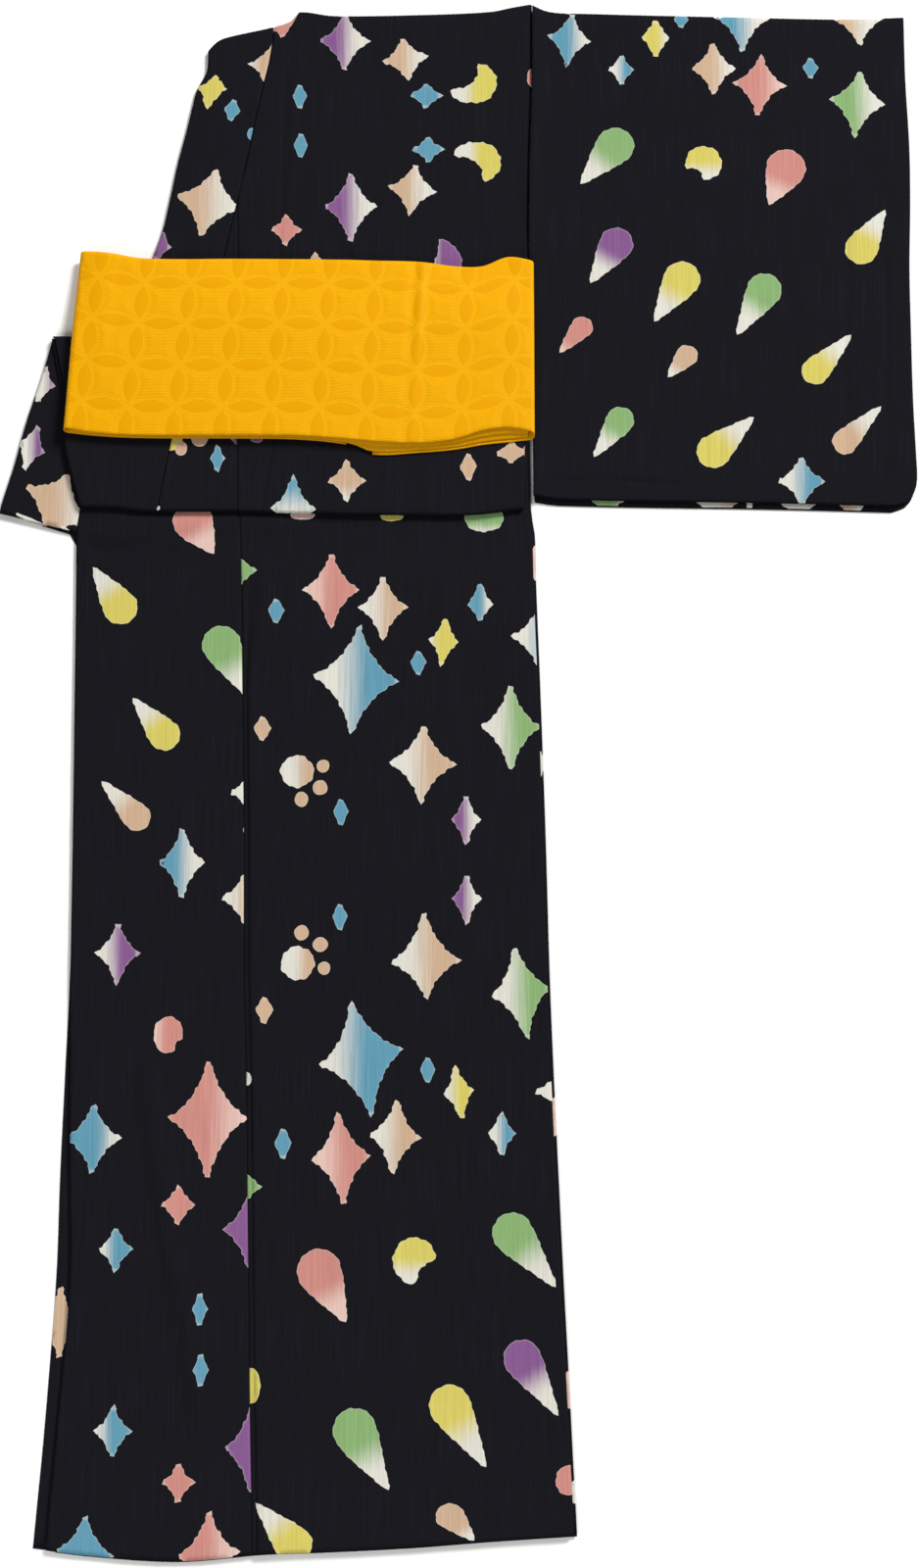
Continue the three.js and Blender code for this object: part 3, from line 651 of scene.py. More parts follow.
FRONT_LOWER = (
    Ball(309, 526, 26, 9, PINK, BARE),
    Ball(400, 527, 24, 10, YELLOW, WHOLE),
    Ball(494, 529, 40, 28, GREEN, MOSTLY, DOWN),
    Star(242, 583, 42, 42, GREEN, WHOLE),
    Diamond(282, 624, 18, 28, BLUE, WHOLE),
    Star(338, 603, 58, 80, PINK, 0.42, LEFT),
    Star(391, 621, 51, 69, PEACH, HALF, LEFT),
    Star(363, 694, 89, 114, BLUE, 0.3, LEFT, tilt=4),
    Diamond(427, 677, 17, 28, BLUE, WHOLE),
    Star(453, 655, 31, 52, YELLOW, MOSTLY, LEFT, tilt=5),
    Star(490, 615, 28, 43, BLUE, 0.4, waist=0.56),
    Star(549, 651, 56, 62, BLUE, 0.3, LEFT),
    Diamond(268, 744, 19, 28, PEACH, WHOLE),
    Ball(303.5, 787.5, 34, 32.5, PEACH, 0.15, LEFT),
    Ball(330, 782, 13, 13, PEACH, WHOLE),
    Ball(327, 804, 15, 15, PEACH, WHOLE),
    Ball(308, 816, 14, 15, PEACH, WHOLE),
    Diamond(348, 829, 16, 30, BLUE, WHOLE),
    Star(431, 780, 70, 82, PEACH, HALF, LEFT, tilt=2),
    Star(521, 743, 62, 90, GREEN, HALF, LEFT),
    Star(475.5, 837, 31, 53, PURPLE, HALF),
    Star(476, 918, 31, 53, PURPLE, HALF),
    Star(434, 975, 72, 90, PEACH, HALF, LEFT, tilt=-2, waist=0.57),
    Ball(304, 983, 34, 34, PEACH, 0.15, LEFT),
    Ball(308, 952, 15, 15, PEACH, WHOLE),
    Ball(327, 964, 15, 15, PEACH, WHOLE),
    Ball(331, 988, 13, 13, PEACH, WHOLE),
    Diamond(347, 936, 16, 30, BLUE, WHOLE),
    Diamond(270, 1031, 19, 30, PEACH, WHOLE),
    Ball(251, 1101, 12, 14, CREAM),
    Star(531.5, 1013, 62, 96, GREEN, HALF, LEFT, tilt=-8),
    Star(369, 1080, 88, 119, BLUE, 0.4, LEFT, tilt=-11),
    Diamond(436.5, 1092, 16, 29, BLUE, WHOLE),
    Star(468, 1115, 32, 57, YELLOW, 0.4, LEFT, tilt=-8),
    Star(403, 1160, 53, 78, PEACH, HALF, LEFT, tilt=4),
    Star(348, 1182, 62, 95, PINK, 0.36, LEFT, tilt=-4),
    Diamond(289, 1167, 18, 34, BLUE, WHOLE),
    Star(512, 1157, 30, 47, BLUE, HALF, LEFT),
    Star(576, 1114, 62, 56, CREAM),
    Star(246, 1211, 44, 50, GREEN, WHOLE),
    Ball(255, 1414, 22, 36, YELLOW, WHOLE),
    drop(326, 1297, 354, 1348, PINK, 45, 0.2),
    BittenBall(423, 1286, 44, 46, YELLOW, 0.4, DOWN, bite_x=0.95, bite_y=0.88, bite=0.92),
    drop(523, 1258, 567, 1312, GREEN, 41),
    drop(533, 1386, 569, 1442, PURPLE, 38),
    drop(459, 1434, 496, 1495, YELLOW, 42),
    drop(362, 1459, 397, 1522, GREEN, 44),
    drop(459, 1546, 484, 1578, PEACH, 29, 0.4),
    drop(300, 1575, 261, 1530, YELLOW, 38),
    Ball(581, 1510, 28, 40, PINK, WHOLE),
)
OVERLAP_UPPER = (
    Ball(173, 446, 26, 27, YELLOW, WHOLE),
    Ball(204, 447, 18, 17, PEACH, WHOLE),
    Ball(185, 458, 12, 14, PEACH, WHOLE),
    Star(222, 468, 16, 28, BLUE, WHOLE),
    Star(246, 448, 22, 26, PURPLE, WHOLE),
    Ball(160, 520, 7, 5, CREAM),
)
OVERLAP_LOWER = (
    drop(197, 532, 219, 566, PINK, 40, 0.1),
    drop(123, 620, 94, 578, YELLOW, 35),
    drop(226, 658, 258, 716, GREEN, 39),
    drop(168, 750, 135, 712, YELLOW, 32),
    drop(140, 834, 103, 797, PEACH, 28),
    Star(259, 809, 48, 60, CREAM),
    Ball(253, 847, 10, 12, CREAM),
    Star(186, 881, 48, 74, BLUE),
    Star(250, 917, 50, 54, PEACH, 0.35, LEFT),
    Star(120, 973, 46, 64, PURPLE, 0.35, LEFT),
    BittenBall(172, 1056, 30, 37, PINK, 0.5, LEFT, bite_x=0.95, bite_y=0.75, bite=0.6),
    Star(212.5, 1142, 82, 121, PINK, 0.42),
    Star(95, 1162, 58, 72, BLUE, 0.5),
    Star(182, 1229.5, 36, 42, PINK, WHOLE),
    Star(118, 1275, 36, 47, BLUE, 0.45, LEFT),
    Star(254, 1255, 54, 76, PURPLE, WHOLE),
    Star(204, 1336, 17, 37, BLUE, WHOLE),
    Star(205, 1398, 17, 37, BLUE, WHOLE),
    Star(115, 1461, 40, 53, BLUE, 0.45, LEFT),
    Star(182, 1513, 34, 42, PINK, WHOLE),
    Star(257, 1479, 56, 94, PURPLE, WHOLE),
    Star(86, 1586, 60, 84, BLUE, WHOLE),
    Star(213, 1587, 64, 92, PINK, 0.4),
)
SLEEVE_FRONT = (
    Star(581, 41, 44, 60, BLUE, 0.4, tilt=6),
    Diamond(669, 40, 28, 44, YELLOW, 0.5),
    Diamond(695, 21, 15, 20, BLUE, WHOLE),
    Star(634, 72, 27, 36, BLUE, HALF, LEFT),
    Star(728, 71, 47, 62, PEACH, 0.4),
    Star(757, 15, 56, 80, BLUE),
    Star(775, 87, 54, 71, PINK, 0.45, tilt=4),
    Diamond(827, 70, 16, 27, BLUE, WHOLE),
    Star(875, 105, 57, 76, GREEN, 0.35, tilt=6),
    Star(876, 2, 50, 62, PEACH, 0.2),
    drop(628, 149, 592, 190, GREEN, 38),
    drop(802, 172, 784, 211, PINK, 40, 0.2),
    drop(629, 249, 602, 291, PURPLE, 34),
    drop(696, 285, 667, 330, YELLOW, 37),
    drop(780, 296, 751, 344, GREEN, 35),
    drop(879, 254, 904, 213, YELLOW, 33),
    drop(594, 334, 571, 361, PINK, 22, 0.5),
    drop(701, 363, 681, 386, PEACH, 22, 0.35),
    drop(832, 379, 870, 340, YELLOW, 28),
    drop(633, 429, 606, 468, GREEN, 28),
    drop(728, 461, 770, 425, YELLOW, 34),
    drop(862, 451, 900, 415, PEACH, 25),
    BittenBall(718, 167, 37, 36, YELLOW, 0.4, DOWN, bite_x=-0.7, bite_y=0.95, bite=0.76),
    Star(818, 491.5, 49, 52, BLUE, HALF, LEFT),
)
# On the sheets beneath, only where a sliver of them shows.
RIGHT_SLEEVE_FRONT = (
    Star(620, 509, 38, 50, GREEN, 0.55),
    Star(732, 510, 54, 50, PEACH, 0.1, LEFT),
    Ball(765, 515, 6, 12, CREAM),
    Star(815, 513, 40, 46, CREAM),
    Star(869, 511, 40, 44, PEACH),
)
LEFT_BACK_LOWER = (
    Star(547, 574, 26, 40, PINK, BARE),
    Star(550, 780, 24, 30, CREAM),
    Star(567, 1139, 26, 42, PINK, BARE),
    Ball(582, 1418, 18, 38, PINK, BARE),
    Ball(589, 1522, 18, 32, CREAM),
)
RIGHT_FRONT_LOWER = (
    Star(61, 1349, 42, 74, PEACH, MOSTLY),
    Star(22, 534, 60, 30, GREEN, HALF),
)


@dataclass(frozen=True)
class Crease:
    """A soft trough or ridge in laid cloth, along points in the photograph's pixels."""

    points: tuple[tuple[float, float], ...]
    depth: float  # millimetres, under 0 for a trough
    width: float
    fading: float = 18.0  # length over which each of its ends dies away
    height: float = 4.5  # of the cloth it lies in


UPPER_CREASES = (
    Crease(((294, 36), (291, 105), (288, 209), (284, 268)), -0.8, 1.6, 8),
    Crease(((280, 448), (272, 492), (266, 518)), -0.8, 1.6, 6, 11),
    Crease(((97, 450), (89, 474), (80, 500)), 0.8, 2.6, 14, 11),
    Crease(((118, 452), (109, 480), (103, 512)), -0.8, 4.0, 16, 11),
    Crease(((330, 230), (352, 262), (366, 276)), -0.6, 5.0, 20),
    Crease(((486, 205), (500, 240), (506, 270)), 0.6, 6.0, 24),
)
LOWER_CREASES = (
    Crease(((90, 533), (150, 535), (240, 534), (320, 535)), 1.7, 8.0, 40),
    Crease(((82, 540), (112, 548), (150, 547), (177, 541)), 1.3, 3.6, 22),
    Crease(((77, 556), (104, 562), (128, 560), (148, 553)), -1.1, 3.6, 18),
    Crease(((78, 572), (98, 577), (122, 575)), 0.9, 3.4, 16),
    Crease(((160, 549), (180, 556), (196, 558)), 0.7, 3.4, 12),
    Crease(((300, 534), (360, 539), (420, 538)), -0.5, 4.2, 26),
    Crease(((73, 876), (96, 875.5), (119, 877)), -0.8, 1.5, 8),
    Crease(((142, 1050), (156, 1146), (176, 1280), (192, 1356), (204, 1490)), 1.9, 8.5, 70),
    Crease(((124, 1060), (137, 1150), (154, 1290), (168, 1400)), -0.9, 11.0, 60),
    Crease(((497, 1524), (496, 1570)), -0.8, 1.8, 10),
    Crease(((395, 1190), (412, 1330), (420, 1452)), 0.6, 11.0, 80),
    Crease(((310, 830), (318, 900), (322, 960)), -0.5, 9.0, 50),
    Crease(((512, 560), (520, 640), (518, 700)), 0.6, 8.0, 50),
)
SLEEVE_CREASES = (
    Crease(((864, 204), (864, 258), (864, 330), (863, 500)), -0.9, 3.6, 22, 6),
    Crease(((904, 250), (905, 420), (904, 500)), -0.8, 2.6, 22, 6),
    Crease(((548, 493), (620, 490), (704, 496)), -0.8, 2.2, 20, 6),
    Crease(((600, 110), (640, 200), (656, 250)), 0.6, 9.0, 50, 6),
    Crease(((742, 150), (730, 240), (736, 330)), -0.6, 10.0, 60, 6),
    Crease(((812, 240), (826, 330), (822, 420)), 0.6, 9.0, 60, 6),
)


class CreaseMap:
    """The creases of one face of cloth, as heights and as extra mesh points along them."""

    narrow = 5.0  # a crease up to this wide gets mesh points of its own
    spacing = 5.0  # between them along it
    beside = (-1.5, -0.75, 0.0, 0.75, 1.5)  # across it, in widths

    def __init__(self, creases: Sequence[Crease]) -> None:
        """Turns the creases' points into millimetres."""
        self.lines = [
            (crease, np.array([PHOTO.place(px, py, crease.height) for px, py in crease.points]))
            for crease in creases
        ]

    def rise(self, x: np.ndarray, y: np.ndarray) -> np.ndarray:
        """Height that the creases add.

        Args:
            x: Places along X.
            y: Places along Y.

        Returns:
            Millimetres for each place.
        """
        total = np.zeros_like(x)
        for crease, line in self.lines:
            best = np.full_like(x, FAR)
            along = np.zeros_like(x)
            start = 0.0
            for a, b in zip(line[:-1], line[1:]):
                step = b - a
                length = float(np.hypot(*step))
                t = ((x - a[0]) * step[0] + (y - a[1]) * step[1]) / (length * length)
                t = np.clip(t, 0.0, 1.0)
                gap = np.hypot(x - a[0] - t * step[0], y - a[1] - t * step[1])
                nearer = gap < best
                best = np.where(nearer, gap, best)
                along = np.where(nearer, start + t * length, along)
                start += length
            begun = smoothstep(along, 0.0, crease.fading)
            ends = begun * smoothstep(start - along, 0.0, crease.fading)
            total += crease.depth * np.exp(-((best / crease.width) ** 2)) * ends
        return total

    def mesh_points(self) -> Places:
        """Points beside each narrow crease that let the mesh follow it."""
        points = []
        for crease, line in self.lines:
            if crease.width > self.narrow:
                continue
            for a, b in zip(line[:-1], line[1:]):
                step = b - a
                length = float(np.hypot(*step))
                side = np.array([-step[1], step[0]]) / length
                count = max(int(length / self.spacing), 1)
                for k in range(count):
                    at = a + step * (k + 0.5) / count
                    points += [tuple(at + side * share * crease.width) for share in self.beside]
        return points


def swell(x: np.ndarray, y: np.ndarray) -> np.ndarray:
    """The slow unevenness of laid cloth, and nothing where the obi or the tuck lies on it."""
    height, across, down = 0.75, 61.0, 73.0
    waist, pressed, free = 340.0, 130.0, 190.0  # middle of the obi and the tuck, and their reach
    wave = np.sin(x / across + y / (across + down)) * np.sin(y / down - x / (2 * down) + 0.8)
    clear = smoothstep(np.abs(y - waist), pressed, free)
    return height * np.maximum(wave, 0.0) ** 1.5 * clear


def rumple(x: np.ndarray, y: np.ndarray) -> np.ndarray:
    """Small pressed waves, of uneven length and direction, in the freely lying cloth."""
    waves = ((88, 0.16), (57, 0.14), (39, 0.1), (26, 0.08), (17, 0.05), (13, 0.04))
    waist, pressed, free = 350.0, 118.0, 160.0
    total = np.zeros_like(x)
    rng = random.Random(11)
    for length, height in waves:
        turn = rng.uniform(-0.5, 0.5) + (math.pi / 2 if rng.random() < 0.4 else 0.0)
        phase = rng.uniform(0, 2 * math.pi)
        c, s = math.cos(turn), math.sin(turn)
        bend = 0.8 * np.sin((x * s - y * c) / (length * 1.7) + phase)
        total += height * np.sin(2 * math.pi * (x * c + y * s) / length + phase + bend)
    return total * smoothstep(np.abs(y - waist), pressed, free)


@dataclass(frozen=True)
class Levels:
    """Heights of a sheet's middle above the floor in the three runs of the tuck."""

    upper: float
    middle: float
    lower: float


class FoldedPath:
    """The line that a sheet follows: over the shoulder, through the tuck and to the hem."""

    visible_step = 5.0  # between the rows of a face that shows
    hidden_step = 11.0
    shoulder_turns = (-70, -45, -20, 5, 30, 60)  # degrees round the roll at the shoulder

    def __init__(
        self, levels: Levels, top: float, end: float, rolled: bool, fine: bool = True
    ) -> None:
        """Works out the path's stations.

        Args:
            levels: The sheet's heights.
            top: Height along Y of its upper end.
            end: Height along Y of its lower end.
            rolled: Whether its upper end rolls over the shoulder.
            fine: Whether its face shows, and gets close rows.
        """
        step = self.visible_step if fine else self.hidden_step
        # Each station is a height along Y, a level, its outward side along Y and up, and its run.
        stations: list[tuple[float, float, float, float, Run]] = []

        def rise(y: float) -> float:
            """Level of the upper run."""
            return levels.lower + (levels.upper - levels.lower) * float(ramp(y))

        def fold(centre: float, high: float, low: float, side: int, turn: int, run: Run) -> None:
            """Half a turn round a fold, which points to the neck at side 1, to the hem at -1."""
            middle, radius = (high + low) / 2, (high - low) / 2
            for degrees in range(turn, 180, turn):
                a = math.radians(degrees)
                y, z = centre + side * radius * math.sin(a), middle + radius * math.cos(a)
                stations.append((y, z, -math.sin(a), -side * math.cos(a), run))

        start = top
        if rolled:
            for degrees in self.shoulder_turns:
                a = math.radians(degrees)
                y = top - SHOULDER_RADIUS * (1 - math.cos(a))
                z = rise(top) - SHOULDER_RADIUS * (1 - math.sin(a))
                stations.append((y, z, math.cos(a), math.sin(a), Run.UPPER))
            start = top - SHOULDER_RADIUS
        for y in self.rows(start, TUCK_CENTRE_Y, step):
            stations.append((y, rise(y), 0.0, 1.0, Run.UPPER))
        fold(TUCK_CENTRE_Y, levels.upper, levels.middle, -1, 18, Run.MIDDLE)
        for y in self.rows(TUCK_CENTRE_Y, RETURN_CENTRE_Y, self.hidden_step):
            stations.append((y, levels.middle, 0.0, -1.0, Run.MIDDLE))
        fold(RETURN_CENTRE_Y, levels.middle, levels.lower, 1, 30, Run.LOWER)
        for y in self.rows(RETURN_CENTRE_Y, end, step):
            stations.append((y, levels.lower, 0.0, 1.0, Run.LOWER))
        self.y, self.z, self.ny, self.nz = np.array([s[:4] for s in stations], dtype=float).T
        self.run = [s[4] for s in stations]
        steps = np.hypot(np.diff(self.y), np.diff(self.z))
        self.t = np.concatenate([[0.0], np.cumsum(steps)])
        self.lower_from = float(self.t[self.run.index(Run.LOWER)])

    @staticmethod
    def rows(start: float, end: float, step: float) -> np.ndarray:
        """Evenly spaced rows from start to end, about a step apart."""
        return np.linspace(start, end, max(int(abs(end - start) / step), 1) + 1)

    def at_row(self, run: Run, y: float) -> float:
        """The length along the path at which a visible run is at a height along Y."""
        face_up = np.array([r is run and nz > FACE_UP for r, nz in zip(self.run, self.nz)])
        return float(np.interp(-y, -self.y[face_up], self.t[face_up]))

    def edge(self, column: Callable[[Run], Line]) -> np.ndarray:
        """A column of the tables at each station.

        Args:
            column: Gives the line to read in each run.

        Returns:
            Its value at each station.
        """
        return np.array([float(column(run)(y)) for run, y in zip(self.run, self.y)])


class ClothMesh:
    """A sheet's mesh in its own flat measure, with its motifs cut in."""

    near = 1.25  # a plain mesh point this near a motif's edge is left out
    # Columns beside each edge, which follow its groove and the edge of its pressed allowance
    beside = np.array([0.0, 0.5, 1.0, 1.6, 2.6, 3.4, 4.2, 5.0, 5.8, 6.6])
    margin = 4.5  # from an edge to the first even column
    stagger = 0.4  # of every other row, beyond the still strip along each edge
    still = 3.0
    inside = 1.0  # from an edge to the nearest crease point
    joined = 1e-4  # points nearer to each other than this become one
    sliver = 1e-3  # twice the area under which a triangle is dropped

    def __init__(self, width: float, rows: np.ndarray, column_step: float) -> None:
        """Lays out the plain points.

        Args:
            width: The sheet's nominal width.
            rows: Lengths down the sheet at which it has a row of points.
            column_step: Distance between points across.
        """
        self.width, self.rows = width, rows
        spaces = max(int((width - 2 * self.margin) / column_step), 2)
        even = np.linspace(self.margin, width - self.margin, spaces + 1)
        self.columns = np.concatenate([self.beside, even, width - self.beside[::-1]])
        self.loops: list[np.ndarray] = []
        self.tags: list[int] = []
        self.extra: Places = []

    def clip(self, loop: np.ndarray) -> np.ndarray:
        """Cuts an outline at the sheet's edges.

        Args:
            loop: The outline's points, as across and down.

        Returns:
            The part of it on the sheet, which may be empty.
        """
        limits = ((0, 0.0, 1), (0, self.width, -1), (1, self.rows[0], 1), (1, self.rows[-1], -1))
        for axis, limit, sign in limits:
            kept: list[np.ndarray] = []
            for a, b in zip(loop, np.roll(loop, -1, axis=0)):
                inside_a, inside_b = (a[axis] - limit) * sign >= 0, (b[axis] - limit) * sign >= 0
                if inside_a:
                    kept.append(a)
                if inside_a != inside_b:
                    share = (limit - a[axis]) / (b[axis] - a[axis])
                    crossing = a + (b - a) * share
                    crossing[axis] = limit
                    kept.append(crossing)
            if len(kept) < 3:
                return np.empty((0, 2))
            loop = np.array(kept)
        return loop

    def add_loop(self, loop: np.ndarray, tag: int) -> None:
        """Adds a motif's outline, if any of it lies on the sheet."""
        cut = self.clip(loop)
        if len(cut) >= 3:
            self.loops.append(cut)
            self.tags.append(tag)

    def plain_points(self, loop_points: np.ndarray) -> np.ndarray:
        """The grid and the crease points, less those too near a motif's edge.

        Args:
            loop_points: The points of all the motifs' edges.

        Returns:
            Places across and down.
        """
        grid_a, grid_t = np.meshgrid(self.columns, self.rows)
        grid = np.column_stack([grid_a.ravel(), grid_t.ravel()])
        shift = np.repeat((np.arange(len(self.rows)) % 2) * self.stagger, len(self.columns))
        inner = (grid[:, 0] > self.still) & (grid[:, 0] < self.width - self.still)
        grid[:, 0] += np.where(inner, shift, 0.0)
        extra = np.array(self.extra).reshape(-1, 2)
        low = np.array([0.0, self.rows[0]]) + self.inside
        high = np.array([self.width, self.rows[-1]]) - self.inside
        plain = np.vstack([grid, extra[np.all((extra > low) & (extra < high), axis=1)]])
        if not len(loop_points):
            return plain
        tree = KDTree(len(loop_points))
        for i, (a, t) in enumerate(loop_points):
            tree.insert((a, t, 0.0), i)
        tree.balance()
        far = np.array([tree.find((a, t, 0.0))[2] > self.near for a, t in plain])
        side = (plain[:, 0] <= 0) | (plain[:, 0] >= self.width)
        end = (plain[:, 1] <= self.rows[0]) | (plain[:, 1] >= self.rows[-1])
        return plain[far | (side & end)]

    def build(self) -> tuple[np.ndarray, np.ndarray, np.ndarray]:
        """Triangulates the sheet.

        Returns:
            The points, as across and down, the triangles, and each triangle's motif or -1.
        """
        loop_points = np.vstack(self.loops) if self.loops else np.empty((0, 2))
        plain = self.plain_points(loop_points)
        points = [Vector((float(a), float(t))) for a, t in np.vstack([plain, loop_points])]
        edges = []
        start = len(plain)
        for loop in self.loops:
            count = len(loop)
            edges += [(start + k, start + (k + 1) % count) for k in range(count)]
            start += count
        result = delaunay_2d_cdt(points, edges, [], 0, self.joined, False)
        flat = np.array([tuple(v) for v in result[0]])
        triangles = np.array([tuple(f) for f in result[2] if len(f) == 3])
        a, b, c = (flat[triangles[:, k]] for k in range(3))
        ab, ac = b - a, c - a
        doubled_area = ab[:, 0] * ac[:, 1] - ac[:, 0] * ab[:, 1]
        triangles = triangles[np.abs(doubled_area) > self.sliver]
        return flat, triangles, self.tag_triangles(flat, triangles)

    def tag_triangles(self, flat: np.ndarray, triangles: np.ndarray) -> np.ndarray:
        """Which motif each triangle lies in, or -1."""
        centre = flat[triangles].mean(axis=1)
        tags = np.full(len(triangles), -1)
        for loop, tag in zip(self.loops, self.tags):
            low, high = loop.min(axis=0), loop.max(axis=0)
            near = np.nonzero(np.all((centre > low) & (centre < high), axis=1))[0]
            x, y = centre[near].T
            inside = np.zeros(len(near), dtype=bool)
            for p, q in zip(loop, np.roll(loop, -1, axis=0)):
                if p[1] == q[1]:
                    continue
                crosses = (p[1] > y) != (q[1] > y)
                inside ^= crosses & (x < (q[0] - p[0]) * (y - p[1]) / (q[1] - p[1]) + p[0])
            tags[near[inside]] = tag
        return tags


def to_linear(hex_colour: str) -> tuple[float, float, float, float]:
    """Turns an sRGB hex colour to linear values with full alpha."""
    values = [int(hex_colour[i : i + 2], 16) / 255 for i in (1, 3, 5)]
    linear = [v / 12.92 if v <= 0.04045 else ((v + 0.055) / 1.055) ** 2.4 for v in values]
    return (*linear, 1.0)


def to_frame(points: np.ndarray) -> np.ndarray:
    """Turns table millimetres to the frame's metres."""
    middle = np.array([*FOOTPRINT_MIDDLE, 0.0])
    return (points - middle) * MM


def link_object(mesh: bpy.types.Mesh, name: str, material: bpy.types.Material) -> bpy.types.Object:
    """Puts a smooth mesh in the scene with its material."""
    mesh.materials.append(material)
    mesh.shade_smooth()
    piece = bpy.data.objects.new(name, mesh)
    bpy.context.collection.objects.link(piece)
    return piece


def thicken(piece: bpy.types.Object, thickness: float) -> None:
    """Gives a sheet its thickness, half to each side."""
    solid = piece.modifiers.new("cloth thickness", "SOLIDIFY")
    solid.thickness = thickness * MM
    solid.offset = 0.0
    solid.use_even_offset = False


@dataclass(frozen=True)
class PlacedMotif:
    """A motif on a sheet: where its middle lies on the robe and down the sheet."""

    motif: Motif
    x: float
    t: float


@dataclass
class Sheet:
    """A sheet of dyed cotton with its motifs, before it is placed."""

    name: str
    node: str
    rests_on: str
    width: float
    material: bpy.types.Material
    thickness: float = COTTON_THICKNESS
    column_step: float = 5.0
    held: str = "folded"
    placed: list[PlacedMotif] = field(default_factory=list)
    loops: list[np.ndarray] = field(default_factory=list)

    def stations(self) -> np.ndarray:
        """Lengths down the sheet at which it has a row."""
        raise NotImplementedError

    def edges_at(self, t: np.ndarray) -> Pair:
        """Its left and right edge along X at lengths down it."""
        raise NotImplementedError

    def place(self, a: np.ndarray, t: np.ndarray) -> np.ndarray:
        """Where its points lie, in table millimetres."""
        raise NotImplementedError

    def extra_points(self) -> Places:
        """Extra mesh points along its creases, as across and down."""
        return []

    def across(self, x: np.ndarray, t: np.ndarray) -> np.ndarray:
        """Turns places along X to places across the flat sheet."""
        left, right = self.edges_at(t)
        return (x - left) / (right - left) * self.width

    def cut_area(self) -> float:
        """Area of its flat cut in square metres."""
        rows = self.stations()
        left, right = self.edges_at(rows)
        wide = right - left
        return float(np.sum((wide[1:] + wide[:-1]) / 2 * np.diff(rows))) * MM * MM

    def make(self) -> bpy.types.Object:
        """Returns:
            The piece.
        """
        rows = self.stations()
        cloth = ClothMesh(self.width, rows, self.column_step)
        for k, placed in enumerate(self.placed):
            # Each motif has a seed of its own.
            loop = placed.motif.outline(seed=101 + 7 * k + len(self.name))
            self.loops.append(loop)
            for outline in (loop, inset_loop(loop, RIM_WIDTH)):
                x, t = placed.x + outline[:, 0], placed.t - outline[:, 1]
                t_held = np.clip(t, rows[0], rows[-1])
                cloth.add_loop(np.column_stack([self.across(x, t_held), t]), k)
        cloth.extra = self.extra_points()
        flat, triangles, tags = cloth.build()
        points = to_frame(self.place(flat[:, 0], flat[:, 1]))
        mesh = bpy.data.meshes.new(self.name)
        # Y falls while the length down the sheet grows, so its right side is kept up here.
        a, b, c = (flat[triangles[:, k]] for k in range(3))
        flip = (b - a)[:, 0] * (c - a)[:, 1] > (b - a)[:, 1] * (c - a)[:, 0]
        triangles[flip] = triangles[flip][:, ::-1]
        mesh.from_pydata(points.tolist(), [], triangles.tolist())
        self.paint(mesh, flat, triangles, tags)
        piece = link_object(mesh, self.name, self.material)
        thicken(piece, self.thickness)
        self.declare(piece)
        log.info("%s: %d triangles, %d motifs", self.name, len(triangles), len(self.placed))
        return piece

    def paint(
        self, mesh: bpy.types.Mesh, flat: np.ndarray, triangles: np.ndarray, tags: np.ndarray
    ) -> None:
        """Writes each corner's dyes, fade and place on the flat cloth.

        Args:
            mesh: The mesh to write to.
            flat: Its points on the flat cloth.
            triangles: Its triangles.
            tags: Each triangle's motif, or -1.
        """
        corners = len(triangles) * 3
        first = np.zeros((corners, 4), dtype=np.float32)
        second = np.zeros((corners, 4), dtype=np.float32)
        fade = np.zeros(corners, dtype=np.float32)
        rim = np.zeros(corners, dtype=np.float32)
        corner_tags = np.repeat(tags, 3)
        index = triangles.ravel()
        left, right = self.edges_at(flat[:, 1])
        real_x = left + (right - left) * flat[:, 0] / self.width
        for k, placed in enumerate(self.placed):
            mine = corner_tags == k
            if not mine.any():
                continue
            local = np.column_stack(
                [real_x[index[mine]] - placed.x, placed.t - flat[index[mine], 1]]
            )
            first[mine] = to_linear(placed.motif.dye.value)
            second[mine] = to_linear(placed.motif.second.value)
            fade[mine] = placed.motif.fade_at(local)
            from_edge = distance_to_loop(local, self.loops[k]) / RIM_WIDTH
            rim[mine] = 1.0 - np.clip(from_edge, 0.0, 1.0)
        for name, values in (("dye", first), ("second_dye", second)):
            layer = mesh.attributes.new(name, "FLOAT_COLOR", "CORNER")
            layer.data.foreach_set("color", values.ravel())
        for name, values in (("fade", fade), ("rim", rim)):
            mesh.attributes.new(name, "FLOAT", "CORNER").data.foreach_set("value", values)
        uv = mesh.uv_layers.new(name="cloth")
        places = np.column_stack([real_x[index], flat[index, 1]]) * MM
        uv.data.foreach_set("uv", places.astype(np.float32).ravel())

    def declare(self, piece: bpy.types.Object) -> None:
        """Hangs the piece on the root and hides the part that it replaces; the size of its cut is
        worked out and not kept.
        """
        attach(piece, "root")
        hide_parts(self.node)
        rows = self.stations()
        length = float(rows[-1] - rows[0]) * MM
        left, right = self.edges_at(rows)
        width = float(np.max(right - left)) * MM
        min(self.cut_area(), width * length)


